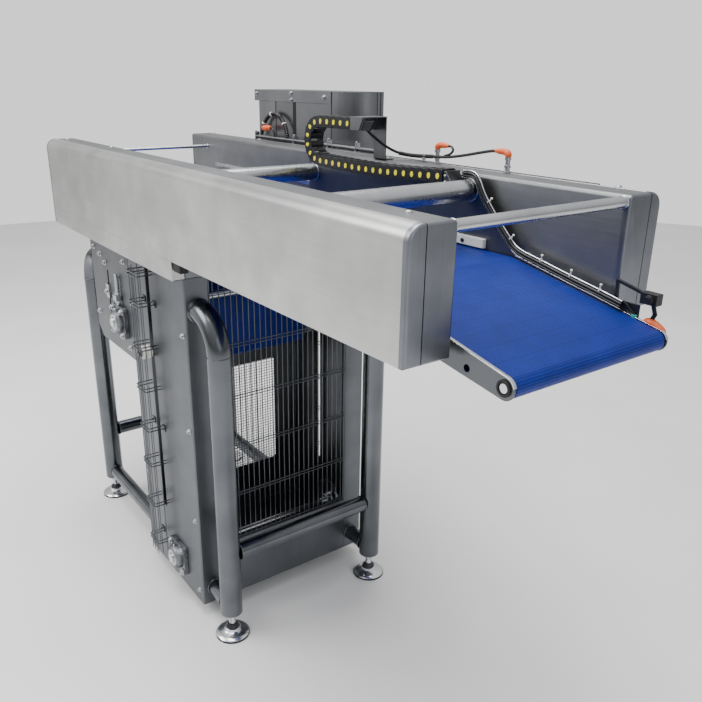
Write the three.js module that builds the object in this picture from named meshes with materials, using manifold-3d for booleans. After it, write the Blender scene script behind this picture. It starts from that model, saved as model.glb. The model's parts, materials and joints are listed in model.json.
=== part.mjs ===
// Retracting belt loader on a tubular stand: a shuttle frame carries a belt nose out between two hollow
// side beams, and a weighted drum in the tower below takes up the belt that the shuttle pays back.
// Millimetres, +Z up, +X towards the belt nose. x = 0 is the front end of the beams, y = 0 the mid-plane,
// z = 0 the floor; the whole machine is then moved so that its origin is at the bottom centre of its box.
import * as THREE from "three";
import { mergeVertices } from "three/addons/utils/BufferGeometryUtils.js";
import Module from "manifold-3d";

const wasm = await Module();
wasm.setup();

// ---- driving dimensions ----
const GAP = 0.3; // clearance between touching pieces
const SIDES = [
  { side: "near", s: -1 },
  { side: "far", s: 1 },
];
const BEAM = {
  length: 1908, inner: 222, seam: 288, outer: 323, top: 1340.5, bottom: 1109,
  skirtBottom: 1058, skirtFront: -896, wall: 3, outerRadius: 31, innerRadius: 9,
};
const LEG = { front: -796, rear: -1765.5, y: 253.3, radius: 31.75, bottom: 76, bendZ: 968, bend: 95 };
const FOOT = { pad: 50, spindle: 10, top: 122, bore: 70 };
const RAIL = { radius: 24, highZ: 272, lowZ: 108 };
const TOWER = {
  front: -900, rear: -1295, outer: 293, inner: 290, bottom: 47, top: 1057.7, flange: 68,
  slotX: -1150, slotWidth: 28, slotBottom: 270, apronTop: 232, windowTop: 620, rearTop: 1000,
};
const GUSSET = { rear: -1630, bottom: 712, slotX: -1490, slotBottom: 800, slotTop: 965, slotWidth: 12 };
const GUARD = { rear: -1176, front: -1114, outer: 343, bottom: 120, top: 1050, strip: 12 };
const CHAIN = { x: -1052, lowZ: 140, highZ: 960, radius: 80, y: 272, width: 10, thick: 8, shaft: 15 };
const DRUM = { x: -1150, z: 790, radius: 56, axle: 12.5 };
const BELT = {
  halfWidth: 199, thick: 7, topZ: 1174.5, returnZ: 1131.5, bendX: -250, noseX: 105, noseZ: 1089,
};
const ROLLER = { nose: 12, turn: 30, over: 56, halfLength: 199, axle: 10 };
const OVER = { z: 1075 };
const DRIVE = { x: -1385, z: 820, shaft: 15 };
const TAIL_X = -1790;
const SHUTTLE = {
  inner: 203, outer: 206, rear: -1062, top: 1330, bottom: 1142, crestFront: -372, shoulderX: -262,
  noseRadius: 21, tubeRadius: 24, midX: -397, midZ: 1305, rearX: -1035, rearZ: 1284,
};
const SLIDE = { rear: -1700, front: -380, y0: 212, z0: 1240, z1: 1252 };
const ECHAIN = { y0: 152, y1: 198, x: -945, z: 1379, radius: 52, half: 16, fixedEnd: -784, movingEnd: -436 };
const HOOD = { rear: -1560, corner: -1123, front: 325, depth: 115, bottom: 1180, top: 1504, radius: 108 };
const CABLE_RADIUS = 4;

// ---- finishes ----
const finish = (color, roughness, metalness) =>
  new THREE.MeshStandardMaterial({ color, roughness, metalness });
const BRUSHED = finish(0xb0b0ae, 0.38, 1);
const SATIN = finish(0x6b6e77, 0.42, 1);
const BRIGHT = finish(0xd2d5d8, 0.18, 1);
const WIRE = finish(0x9a9da2, 0.35, 1);
const BLUE_BELT = finish(0x1e3f9c, 0.55, 0);
const BLACK_PLASTIC = finish(0x14151a, 0.5, 0);
const CAST = finish(0x85888c, 0.45, 1);

// ---- shape helpers ----
const machine = new THREE.Group();

/** Adds one named mesh to the machine. */
function add(name, geometry, material) {
  const mesh = new THREE.Mesh(geometry, material);
  mesh.name = name;
  machine.add(mesh);
}

/** A geometry as a manifold solid, its shared vertices merged. */
function solid(geometry) {
  const plain = geometry.clone();
  plain.deleteAttribute("normal");
  plain.deleteAttribute("uv");
  const merged = mergeVertices(plain, 1e-3);
  return new wasm.Manifold(
    new wasm.Mesh({
      numProp: 3,
      vertProperties: merged.attributes.position.array,
      triVerts: new Uint32Array(merged.index.array),
    }),
  );
}

/** Joins the first geometry with the others and cuts the tools out of the result. */
function combine(joined, tools = []) {
  let made = solid(joined[0]);
  for (const piece of joined.slice(1)) made = made.add(solid(piece));
  for (const tool of tools) made = made.subtract(solid(tool));
  const mesh = made.getMesh();
  const geometry = new THREE.BufferGeometry();
  geometry.setAttribute("position", new THREE.BufferAttribute(mesh.vertProperties, 3));
  geometry.setIndex(new THREE.BufferAttribute(mesh.triVerts, 1));
  geometry.computeVertexNormals();
  return geometry;
}

/** A box between two corners. */
function block(x0, x1, y0, y1, z0, z1) {
  const box = new THREE.BoxGeometry(Math.abs(x1 - x0), Math.abs(y1 - y0), Math.abs(z1 - z0));
  return box.translate((x0 + x1) / 2, (y0 + y1) / 2, (z0 + z1) / 2);
}

/** A cylinder along Y between two y values. */
function rodY(radius, x, z, y0, y1, sides = 20) {
  return new THREE.CylinderGeometry(radius, radius, Math.abs(y1 - y0), sides).translate(x, (y0 + y1) / 2, z);
}

/** A cylinder along X between two x values. */
function rodX(radius, y, z, x0, x1, sides = 20) {
  const rod = new THREE.CylinderGeometry(radius, radius, Math.abs(x1 - x0), sides);
  return rod.rotateZ(Math.PI / 2).translate((x0 + x1) / 2, y, z);
}

/** A cylinder along Z between two z values. */
function rodZ(radius, x, y, z0, z1, sides = 20) {
  const rod = new THREE.CylinderGeometry(radius, radius, Math.abs(z1 - z0), sides);
  return rod.rotateX(Math.PI / 2).translate(x, y, (z0 + z1) / 2);
}

/** An outline drawn in X and Z, carried along Y from y0 to y1. */
function plateXZ(shape, y0, y1, curveSegments = 8) {
  const depth = Math.abs(y1 - y0);
  const made = new THREE.ExtrudeGeometry(shape, { depth, bevelEnabled: false, curveSegments });
  return made.rotateX(Math.PI / 2).translate(0, Math.max(y0, y1), 0);
}

/** An outline drawn in Y and Z, carried along X from x0 to x1. */
function barYZ(shape, x0, x1, curveSegments = 8) {
  const depth = Math.abs(x1 - x0);
  const made = new THREE.ExtrudeGeometry(shape, { depth, bevelEnabled: false, curveSegments });
  const toYZ = new THREE.Matrix4().makeBasis(
    new THREE.Vector3(0, 1, 0),
    new THREE.Vector3(0, 0, 1),
    new THREE.Vector3(1, 0, 0),
  );
  return made.applyMatrix4(toYZ).translate(Math.min(x0, x1), 0, 0);
}

/** A strip of even thickness along a line of X, Z points, as an outline. */
function strip(points, thick) {
  const sideOf = (sign) =>
    points.map((p, i) => {
      const before = points[Math.max(i - 1, 0)];
      const after = points[Math.min(i + 1, points.length - 1)];
      const along = new THREE.Vector2().subVectors(after, before).normalize();
      return new THREE.Vector2(p.x - sign * along.y * (thick / 2), p.y + sign * along.x * (thick / 2));
    });
  return new THREE.Shape([...sideOf(1), ...sideOf(-1).reverse()]);
}

/** Points on an arc in X and Z, angles in degrees from +X towards +Z. */
function arc(x, z, radius, from, to, steps = 8) {
  return Array.from({ length: steps + 1 }, (_, i) => {
    const angle = THREE.MathUtils.degToRad(from + ((to - from) * i) / steps);
    return new THREE.Vector2(x + radius * Math.cos(angle), z + radius * Math.sin(angle));
  });
}

/** A closed outline through X, Z (or Y, Z) pairs. */
function outline(pairs) {
  return new THREE.Shape(pairs.map(([a, b]) => new THREE.Vector2(a, b)));
}

/** A tube along a curve with a round section of twice halfSides sides. */
function tubeAlong(curve, radius, steps, halfSides = 10) {
  const section = new THREE.Shape();
  section.absarc(0, 0, radius, 0, 2 * Math.PI);
  return new THREE.ExtrudeGeometry(section, {
    steps, extrudePath: curve, bevelEnabled: false, curveSegments: halfSides,
  });
}

// ---- beams ----
/** The closed outer outline of one beam in Y and Z, for the side sign s. */
function beamOutline(s, grow, bottom) {
  const { inner, outer, top, outerRadius, innerRadius } = BEAM;
  const i = s * (inner - grow);
  const o = s * (outer + grow);
  const t = top + grow;
  const shape = new THREE.Shape();
  shape.moveTo(i, bottom - grow);
  shape.lineTo(i, t - innerRadius);
  shape.quadraticCurveTo(i, t, i + s * innerRadius, t);
  shape.lineTo(o - s * outerRadius, t);
  shape.quadraticCurveTo(o, t, o, t - outerRadius);
  shape.lineTo(o, bottom - grow);
  return shape;
}

/** One half of a hollow beam: the channel with its slide rail, or the cover, open towards each other. */
function beamHalf(s, isCover) {
  const { length, seam, wall, skirtFront, skirtBottom, bottom, top, inner, outer } = BEAM;
  const body = combine([
    barYZ(beamOutline(s, 0, bottom), -length, 0),
    barYZ(beamOutline(s, 0, skirtBottom), -length, skirtFront),
  ]);
  const hollow = combine([
    barYZ(beamOutline(s, -wall, bottom), wall - length, -wall),
    barYZ(beamOutline(s, -wall, skirtBottom), wall - length, skirtFront - wall),
  ]);
  const y0 = isCover ? s * (inner - 10) : s * seam;
  const y1 = isCover ? s * (seam + GAP) : s * (outer + 10);
  const otherHalf = block(-length - 10, 10, y0, y1, skirtBottom - 10, top + 10);
  const { y0: railY, z0, z1, rear, front } = SLIDE;
  const rails = isCover ? [] : [block(rear, front, s * railY, s * (inner + 1), z0, z1)];
  return combine([combine([body], [hollow, otherHalf]), ...rails]);
}

for (const { side, s } of SIDES) {
  add(`${side}_beam_channel`, beamHalf(s, false), SATIN);
  add(`${side}_beam_cover`, beamHalf(s, true), BRUSHED);
}
const betweenBeams = BEAM.inner - GAP;
add("front_cross_tube", rodY(11, -16, 1326, -betweenBeams, betweenBeams), SATIN);
add("rear_tie_rod", rodY(6, -1775, 1303, -betweenBeams, betweenBeams, 16), BRIGHT);

// ---- stand ----
/** The centre line of a leg's top elbow: a quarter circle that leaves upwards and arrives along X. */
class Elbow extends THREE.Curve {
  constructor(x, y, z, bend, towards) {
    super();
    Object.assign(this, { x, y, z, bend, towards });
  }
  getPoint(t, target = new THREE.Vector3()) {
    const angle = (t * Math.PI) / 2;
    const across = this.towards * this.bend * (1 - Math.cos(angle));
    return target.set(this.x + across, this.y, this.z + this.bend * Math.sin(angle));
  }
}

/**
 * One leg: an upright whose elbow turns along X to the piece that it is welded to, with any stubs
 * welded on, bored from below for its foot.
 */
function leg(x, y, towards, endX, stubs = []) {
  const { bottom, bendZ, bend, radius } = LEG;
  const lap = 1;
  const bore = rodZ(FOOT.spindle + 1, x, y, bottom - 1, bottom + FOOT.bore, 16);
  return combine(
    [
      rodZ(radius, x, y, bottom, bendZ - bend + lap),
      tubeAlong(new Elbow(x, y, bendZ - bend, bend, towards), radius, 7),
      rodX(radius, y, bendZ, x + towards * (bend - lap), endX),
      ...stubs,
    ],
    [bore],
  );
}

/** A levelling foot: a dished pad under a threaded spindle that screws into the leg. */
function foot(x, y) {
  const { pad: r, spindle, top } = FOOT;
  const profile = [
    [0, 0], [r, 0], [r, 5], [44, 10], [22, 17], [19, 26], [14, 33], [spindle, 36], [spindle, top], [0, top],
  ];
  const turned = new THREE.LatheGeometry(profile.map(([radius, z]) => new THREE.Vector2(radius, z)), 20);
  return turned.rotateX(Math.PI / 2).translate(x, y, 0);
}

for (const { side, s } of SIDES) {
  const y = s * LEG.y;
  const stub = rodX(RAIL.radius, y, RAIL.lowZ - 8, TOWER.front + GAP, LEG.front);
  add(`${side}_front_leg`, leg(LEG.front, y, -1, TOWER.front + GAP, [stub]), SATIN);
  add(`${side}_rear_leg`, leg(LEG.rear, y, 1, GUSSET.rear - GAP), SATIN);
  add(`${side}_front_foot`, foot(LEG.front, y), BRIGHT);
  add(`${side}_rear_foot`, foot(LEG.rear, y), BRIGHT);
  const railStart = LEG.rear + LEG.radius + GAP;
  add(`${side}_side_rail`, rodX(RAIL.radius, y, RAIL.lowZ, railStart, TOWER.rear - GAP), SATIN);
}
const betweenLegs = LEG.y - LEG.radius - GAP;
add("front_rail", rodY(RAIL.radius, LEG.front, RAIL.highZ, -betweenLegs, betweenLegs), SATIN);
add("rear_rail", rodY(RAIL.radius, LEG.rear, RAIL.highZ, -betweenLegs, betweenLegs), SATIN);

// ---- tower ----
/** One side of the tower: a plate with folded front and rear edges and a long slot for the drum's axle. */
function towerSide(s) {
  const { front, rear, outer, inner, bottom, top, flange, slotX, slotWidth, slotBottom } = TOWER;
  const sheet = outer - inner;
  const innerEdge = outer - flange;
  const half = slotWidth / 2;
  return combine(
    [
      block(rear, front, s * outer, s * inner, bottom, top),
      block(front - sheet, front, s * outer, s * innerEdge, bottom, top),
      block(rear, rear + sheet, s * outer, s * innerEdge, bottom, top),
    ],
    [
      block(slotX - half, slotX + half, s * (outer + 1), s * (inner - 1), slotBottom, top + 1),
      rodY(CHAIN.shaft + 3, CHAIN.x, CHAIN.lowZ, s * (outer + 1), s * (inner - 1)),
    ],
  );
}

/** A sheet across the tower with a grid of windows, its bars of even width. */
function grille(x0, x1, halfWidth, z0, z1, columns, rows, bar) {
  const stepY = (2 * halfWidth - bar) / columns;
  const stepZ = (z1 - z0 - bar) / rows;
  const windows = [];
  for (let c = 0; c < columns; c++)
    for (let r = 0; r < rows; r++) {
      const y = -halfWidth + bar + c * stepY;
      const z = z0 + bar + r * stepZ;
      windows.push(block(x0 - 1, x1 + 1, y, y + stepY - bar, z, z + stepZ - bar));
    }
  return combine([block(x0, x1, -halfWidth, halfWidth, z0, z1)], windows);
}

for (const { side, s } of SIDES) add(`${side}_tower_side`, towerSide(s), SATIN);
const panelHalf = TOWER.outer - TOWER.flange - GAP;
const { front: towerFront, rear: towerRear, bottom: towerBottom, rearTop, apronTop, windowTop } = TOWER;
const frontApron = block(towerFront - 3, towerFront, -panelHalf, panelHalf, towerBottom, apronTop - GAP);
add("front_apron", frontApron, SATIN);
add("front_mesh", grille(towerFront - 4, towerFront, panelHalf, apronTop, 1050, 8, 5, 5), WIRE);
const rearSheet = block(towerRear, towerRear + 3, -panelHalf, panelHalf, towerBottom, rearTop);
const rearWindow = block(towerRear - 1, towerRear + 4, -200, 200, apronTop, windowTop);
const rearWires = grille(towerRear, towerRear + 3, 201, apronTop - 1, windowTop + 1, 5, 5, 4);
add("rear_guard", combine([combine([rearSheet], [rearWindow]), rearWires]), SATIN);

/** A gusset plate between the rear leg, the beam and the tower, with an adjusting slot. */
function gusset(s) {
  const { rear, bottom, slotX, slotBottom, slotTop, slotWidth } = GUSSET;
  const { outer, rear: tower, flange, top } = TOWER;
  const thick = 4;
  return combine(
    [
      block(rear, tower - GAP, s * outer, s * (outer - thick), bottom, top),
      block(rear, rear + thick, s * outer, s * (outer - flange), bottom, top),
    ],
    [
      block(slotX, slotX + slotWidth, s * (outer + 1), s * (outer - thick - 1), slotBottom, slotTop),
      rodY(DRIVE.shaft + 6, DRIVE.x, DRIVE.z, s * (outer + 1), s * (outer - thick - 1)),
    ],
  );
}

/** A wire guard over the slot: a tray of wires with windows, open towards the tower. */
function slotGuard(s) {
  const { rear, front, outer, bottom, top, strip: bar } = GUARD;
  const against = TOWER.outer + GAP;
  const wall = 4;
  const rows = 6;
  const step = (top - bottom - bar) / rows;
  const windows = [];
  for (let r = 0; r < rows; r++) {
    const z0 = bottom + bar + r * step;
    const z1 = z0 + step - bar;
    windows.push(block(rear + bar, front - bar, s * (outer - 6), s * (outer + 1), z0, z1));
    windows.push(block(rear - 1, front + 1, s * (against + 10), s * (outer - bar), z0, z1));
  }
  const shell = block(rear, front, s * against, s * outer, bottom, top);
  const [y0, y1] = [s * (against - 1), s * (outer - wall)];
  const inside = block(rear + wall, front - wall, y0, y1, bottom - 1, top + 1);
  return combine([shell], [inside, ...windows]);
}

/** A square flange bearing: a plate with a raised round housing and a bore for its shaft. */
function flangeBearing(x, z, s, bore) {
  const face = TOWER.outer + GAP;
  const half = 52;
  return combine(
    [
      block(x - half, x + half, s * face, s * (face + 12), z - half, z + half),
      rodY(36, x, z, s * face, s * (face + 30)),
    ],
    [rodY(bore + GAP, x, z, s * (face - 1), s * (face + 31))],
  );
}

for (const { side, s } of SIDES) {
  add(`${side}_gusset`, gusset(s), SATIN);
  add(`${side}_slot_guard`, slotGuard(s), WIRE);
  add(`${side}_chain_bearing`, flangeBearing(CHAIN.x, CHAIN.lowZ, s, CHAIN.shaft), CAST);
  add(`${side}_drive_bearing`, flangeBearing(DRIVE.x, DRIVE.z, s, DRIVE.shaft), CAST);
}

// ---- rollers and belt ----
// The belt's middle line keeps half its thickness and a small clearance off each roller.
const LAP = BELT.thick / 2 + 3 * GAP;
const drumLoop = DRUM.radius + LAP;
const turnLoop = ROLLER.turn + LAP;
const overLoop = ROLLER.over + LAP;
const noseLoop = ROLLER.nose + LAP;
const tailLoop = (BELT.topZ - BELT.returnZ) / 2;
const turnX = DRUM.x + drumLoop + turnLoop;
const turnZ = BELT.returnZ - turnLoop;
const overX = DRUM.x - drumLoop - overLoop;
const driveLoop = DRIVE.x - (overX - overLoop);
const driveRadius = Math.abs(driveLoop) - LAP;
const rearTurnX = DRIVE.x - Math.abs(driveLoop) - turnLoop;
const tailZ = BELT.returnZ + tailLoop;

/** A hollow drum: a wall of the given thickness on a web at its middle, bored through if it has a bore. */
function drum(radius, x, z, wall, bore = 0) {
  const { halfLength } = ROLLER;
  const shell = combine(
    [rodY(radius, x, z, -halfLength, halfLength, 24)],
    [rodY(radius - wall, x, z, -halfLength - 1, halfLength + 1, 16)],
  );
  const web = rodY(radius - wall / 2, x, z, -12, 12, 16);
  return combine([shell, web], bore ? [rodY(bore, x, z, -13, 13)] : []);
}

/** A roller with its journals as one turning piece: a thick roller is a hollow drum. */
function roller(radius, x, z, journal, journalEnd) {
  const { halfLength, turn } = ROLLER;
  const body = radius < turn ? rodY(radius, x, z, -halfLength, halfLength, 24) : drum(radius, x, z, 4);
  return combine([body, rodY(journal, x, z, -journalEnd, journalEnd, 16)]);
}

const journalEnd = BEAM.inner - GAP;
add("nose_roller", roller(ROLLER.nose, BELT.noseX, BELT.noseZ, 9, SHUTTLE.outer + 2), BRIGHT);
add("front_turn_roller", roller(ROLLER.turn, turnX, turnZ, ROLLER.axle, journalEnd), SATIN);
add("over_roller", roller(ROLLER.over, overX, OVER.z, ROLLER.axle, journalEnd), SATIN);
add("rear_turn_roller", roller(ROLLER.turn, rearTurnX, turnZ, ROLLER.axle, journalEnd), SATIN);
add("tail_roller", roller(tailLoop - LAP, TAIL_X, tailZ, ROLLER.axle, journalEnd), SATIN);
add("drive_roller", roller(driveRadius, DRIVE.x, DRIVE.z, DRIVE.shaft, TOWER.outer + 36), BRIGHT);

/** A belt strand: a strip of the belt's thickness along X, Z points, across the belt's width. */
const beltAlong = (points) => plateXZ(strip(points, BELT.thick), -BELT.halfWidth, BELT.halfWidth);
const at = (x, z) => new THREE.Vector2(x, z);

/** The angle, in degrees from +X towards +Z, at which the line from x, z leaves the top of the nose. */
function noseTangent(x, z, radius) {
  const [dx, dz] = [BELT.noseX - x, BELT.noseZ - z];
  const lean = Math.atan2(dz, dx) + Math.asin(radius / Math.hypot(dx, dz));
  return 90 + THREE.MathUtils.radToDeg(lean);
}

/** The angle at which the line from x, z reaches the underside of the nose. */
function noseUnderTangent(x, z, radius) {
  const [dx, dz] = [BELT.noseX - x, BELT.noseZ - z];
  const lean = Math.atan2(dz, dx) - Math.asin(radius / Math.hypot(dx, dz));
  return -90 + THREE.MathUtils.radToDeg(lean);
}

const RETURN_BEND_X = -300;
const SPLICE_X = -1500;
const LEAD = 2; // straight length at a strand's end, so that it is cut square
const { bendX, topZ, returnZ, noseX, noseZ } = BELT;
const noseTop = noseTangent(bendX, topZ, noseLoop);
const noseUnder = noseUnderTangent(RETURN_BEND_X, returnZ, noseLoop);
add(
  "belt_front",
  beltAlong([
    at(SPLICE_X, topZ), at(bendX, topZ),
    ...arc(noseX, noseZ, noseLoop, noseTop, noseUnder, 10),
    at(RETURN_BEND_X, returnZ), at(turnX + LEAD + GAP, returnZ),
  ]),
  BLUE_BELT,
);
add(
  "belt_takeup_loop",
  beltAlong([
    at(turnX + LEAD, returnZ), ...arc(turnX, turnZ, turnLoop, 90, 180, 6),
    ...arc(DRUM.x, DRUM.z, drumLoop, 0, -180, 16),
    at(DRUM.x - drumLoop, OVER.z - LEAD - GAP),
  ]),
  BLUE_BELT,
);
add(
  "belt_rear",
  beltAlong([
    at(overX + overLoop, OVER.z - LEAD), ...arc(overX, OVER.z, overLoop, 0, 180, 16),
    ...arc(DRIVE.x, DRIVE.z, Math.abs(driveLoop), 0, -180, 16),
    ...arc(rearTurnX, turnZ, turnLoop, 0, 90, 6),
    ...arc(TAIL_X, tailZ, tailLoop, -90, -270, 10),
    at(SPLICE_X - GAP, topZ),
  ]),
  BLUE_BELT,
);

// ---- belt take-up in the tower ----
const axleEnd = GUARD.outer - 10;
add(
  "takeup_axle",
  combine([
    rodY(DRUM.axle, DRUM.x, DRUM.z, -axleEnd, axleEnd, 16),
    ...SIDES.map(({ s }) => rodY(20, DRUM.x, DRUM.z, s * (TOWER.outer + 6), s * (axleEnd - 8), 16)),
    ...SIDES.map(({ s }) => block(DRUM.x - 24, DRUM.x + 13.5, s * 240, s * 256, DRUM.z - 40, DRUM.z + 40)),
  ]),
  BRIGHT,
);
add("takeup_drum", drum(DRUM.radius, DRUM.x, DRUM.z, 5, DRUM.axle + GAP), SATIN);

/** A cross shaft with a toothed sprocket near each end. */
function chainShaft(z, end) {
  const { x, radius, y, width, thick, shaft } = CHAIN;
  const pitchRadius = radius - thick / 2 - 4 * GAP;
  const [y0, y1] = [y - width / 2, y + width / 2];
  const sprockets = SIDES.map(({ s }) => rodY(pitchRadius, x, z, s * y0, s * y1, 16));
  return combine([rodY(shaft, x, z, -end, end), ...sprockets]);
}
add("lower_chain_shaft", chainShaft(CHAIN.lowZ, TOWER.outer + 36), BRIGHT);
add("upper_chain_shaft", chainShaft(CHAIN.highZ, TOWER.inner - GAP), BRIGHT);

/** The take-up chain of one side: a closed loop around its two sprockets. */
function chainLoop(s) {
  const { x, lowZ, highZ, radius, y, width, thick } = CHAIN;
  const loop = (r) => {
    const points = [...arc(x, highZ, r, 0, 180, 12), ...arc(x, lowZ, r, 180, 360, 12)];
    return new THREE.Shape(points);
  };
  const shape = loop(radius + thick / 2);
  shape.holes.push(loop(radius - thick / 2));
  return plateXZ(shape, s * (y - width / 2), s * (y + width / 2));
}
for (const { side, s } of SIDES) add(`${side}_takeup_chain`, chainLoop(s), CAST);

// ---- shuttle ----
/** One side plate of the shuttle with its two slide shoes. */
function shuttleSide(s) {
  const { inner, outer, rear, top, bottom, crestFront, shoulderX, noseRadius } = SHUTTLE;
  const deckZ = topZ + BELT.thick / 2 + 4;
  const shape = new THREE.Shape([
    at(rear, bottom), at(rear, top), at(crestFront, top), at(shoulderX, deckZ + 6), at(bendX, deckZ),
    ...arc(noseX, noseZ, noseRadius, noseTangent(bendX, deckZ, noseRadius), -98, 12),
    at(-390, bottom),
  ]);
  const plate = plateXZ(shape, s * inner, s * outer);
  const { y0, z0, z1 } = SLIDE;
  const shoeAt = [-1040, -470];
  const shoeEnd = BEAM.inner - 1;
  const shoes = shoeAt.map((x) => block(x, x + 80, s * outer, s * shoeEnd, z0 - 14, z1 + 14));
  const grooves = block(rear, bendX, s * (y0 - 0.7), s * (shoeEnd + 1), z0 - 0.7, z1 + 0.7);
  const bore = rodY(9 + GAP, noseX, noseZ, s * (inner - 1), s * (outer + 1));
  const hole = rodY(7, 22, 1096, s * (inner - 1), s * (outer + 1), 16);
  return combine([plate, ...shoes], [grooves, bore, hole]);
}
for (const { side, s } of SIDES) add(`${side}_shuttle_side`, shuttleSide(s), SATIN);
const betweenPlates = SHUTTLE.inner - GAP;
const { tubeRadius, midX, midZ, rearX, rearZ } = SHUTTLE;
add("middle_cross_tube", rodY(tubeRadius, midX, midZ, -betweenPlates, betweenPlates, 24), SATIN);
add("rear_cross_tube", rodY(tubeRadius, rearX, rearZ, -betweenPlates, betweenPlates, 24), SATIN);
const bedDrop = LAP + 1.5;
const bedLoop = noseLoop - bedDrop;
const bedEnd = arc(noseX, noseZ, bedLoop, noseTop, noseTop, 1)[0].add(at(-34, 34 * Math.tan(0.2)));
const bedPath = [at(-1000, topZ - bedDrop), at(bendX, topZ - bedDrop), bedEnd];
add("slider_bed", plateXZ(strip(bedPath, 3), -betweenPlates, betweenPlates), SATIN);

// ---- cable carrier and cables ----
const { y0: carrierIn, y1: carrierOut, x: carrierX, z: carrierZ, radius: carrierR, half } = ECHAIN;
const upperZ = carrierZ + carrierR;
const lowerZ = carrierZ - carrierR;
const carrierRing = new THREE.Shape([
  ...arc(carrierX, carrierZ, carrierR + half, 90, 270, 14),
  ...arc(carrierX, carrierZ, carrierR - half, 270, 90, 14),
]);
/** A straight run of the carrier from its loop to the given end. */
const carrierRun = (end, z) => block(carrierX + GAP, end - GAP, carrierIn, carrierOut, z - half, z + half);
add("cable_carrier_upper", carrierRun(ECHAIN.fixedEnd, upperZ), BLACK_PLASTIC);
add("cable_carrier_loop", plateXZ(carrierRing, carrierIn, carrierOut), BLACK_PLASTIC);
add("cable_carrier_lower", carrierRun(ECHAIN.movingEnd, lowerZ), BLACK_PLASTIC);

const postFace = BEAM.inner + 4;
const postRear = -786;
const postFront = -736;
const deck = BEAM.top + GAP;
add(
  "carrier_post",
  combine([
    block(postRear, postFront, postFace, postFace + 3, deck, upperZ + 19),
    block(postRear, postFront, postFace, postFace + 30, deck, deck + 3),
    block(ECHAIN.fixedEnd, postFront, carrierIn, postFace + 3, upperZ + 16, upperZ + 19),
    block(ECHAIN.fixedEnd, ECHAIN.fixedEnd + 3, carrierIn, postFace + 3, upperZ - half, upperZ + 19),
  ]),
  BRUSHED,
);
const towX = ECHAIN.movingEnd;
add(
  "carrier_tow_arm",
  combine([
    block(towX, towX + 3, carrierIn, betweenPlates, lowerZ - half, lowerZ + half + 3),
    block(towX, towX + 10, carrierIn, betweenPlates, lowerZ - half, lowerZ - half + 3),
  ]),
  BRUSHED,
);

const deckSlope = Math.tan(THREE.MathUtils.degToRad(noseTop - 90));
const channelStart = at(bendX + 14, topZ + 25);
const channelEnd = at(28, channelStart.y + deckSlope * (28 - channelStart.x));
const channelPath = [
  at(-424, 1354), at(-384, 1347), at(-345, 1315), at(-285, 1234), channelStart, channelEnd,
];
add("cable_channel", plateXZ(strip(channelPath, 22), 188, betweenPlates), BLACK_PLASTIC);

const sensorCable = new THREE.CatmullRomCurve3(
  [
    [-736, 160, 1422], [-731, 174, 1408], [-728, 194, 1393], [-727, 216, 1379], [-726, 242, 1366],
    [-722, 264, 1358], [-708, 282, 1354], [-686, 290, 1353], [-650, 290, 1356], [-606, 284, 1357],
    [-560, 287, 1360], [-510, 290, 1368], [-460, 290, 1378], [-425, 290, 1384.5], [-411, 290, 1385.6],
  ].map((p) => new THREE.Vector3(...p)),
);
add("sensor_cable", tubeAlong(sensorCable, CABLE_RADIUS, 30, 4), BLACK_PLASTIC);

// ---- hood and its gearmotor ----
/** The hood's plan at a given inset: flat in front, one large rounded corner, open below. */
function hoodPlan(inset) {
  const { rear, corner, front, depth, radius } = HOOD;
  const r = radius - inset;
  const points = Array.from({ length: 11 }, (_, i) => {
    const angle = (Math.PI / 2) * (i / 10);
    return at(corner + r * Math.sin(angle), front + radius - r * Math.cos(angle));
  });
  const back = front + depth - inset;
  const left = rear + inset;
  return new THREE.Shape([at(left, front + inset), ...points, at(corner + r, back), at(left, back)]);
}
const hoodSolid = (inset, z0, z1) =>
  new THREE.ExtrudeGeometry(hoodPlan(inset), { depth: z1 - z0, bevelEnabled: false }).translate(0, 0, z0);
add(
  "motor_hood",
  combine([hoodSolid(0, HOOD.bottom, HOOD.top)], [hoodSolid(2, HOOD.bottom - 1, HOOD.top - 2)]),
  BRUSHED,
);
const motorY = HOOD.front + HOOD.depth / 2;
add(
  "shuttle_gearmotor",
  combine([
    rodX(44, motorY, 1330, -1470, -1260),
    block(-1262, -1150, motorY - 46, motorY + 46, 1270, 1390),
    block(-1250, -1160, HOOD.front + 2 + GAP, motorY, 1290, 1370),
  ]),
  CAST,
);

// ---- origin at the bottom centre of the machine's box ----
const box = new THREE.Box3().setFromObject(machine);
machine.position.set(-(box.min.x + box.max.x) / 2, -(box.min.y + box.max.y) / 2, -box.min.z);
const part = new THREE.Group();
part.add(machine);

export default part;
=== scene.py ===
"""Looks of a retracting belt loader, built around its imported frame.

Sizes are millimetres in the machine's own axes. x = 0 is the front end of the two side beams and +X runs
to the belt's nose, y = 0 is the mid-plane between the beams, and z = 0 is the floor. The near side is -Y
and the far side, with the hood and the cable carrier, is +Y. Each piece is worked out as numpy arrays and
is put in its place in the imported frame, in metres, when its mesh is made.
"""

import json
import logging
import math
from dataclasses import dataclass
from enum import Enum

import bpy
import numpy as np
from mathutils import Matrix, Vector
from mathutils.geometry import tessellate_polygon


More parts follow.
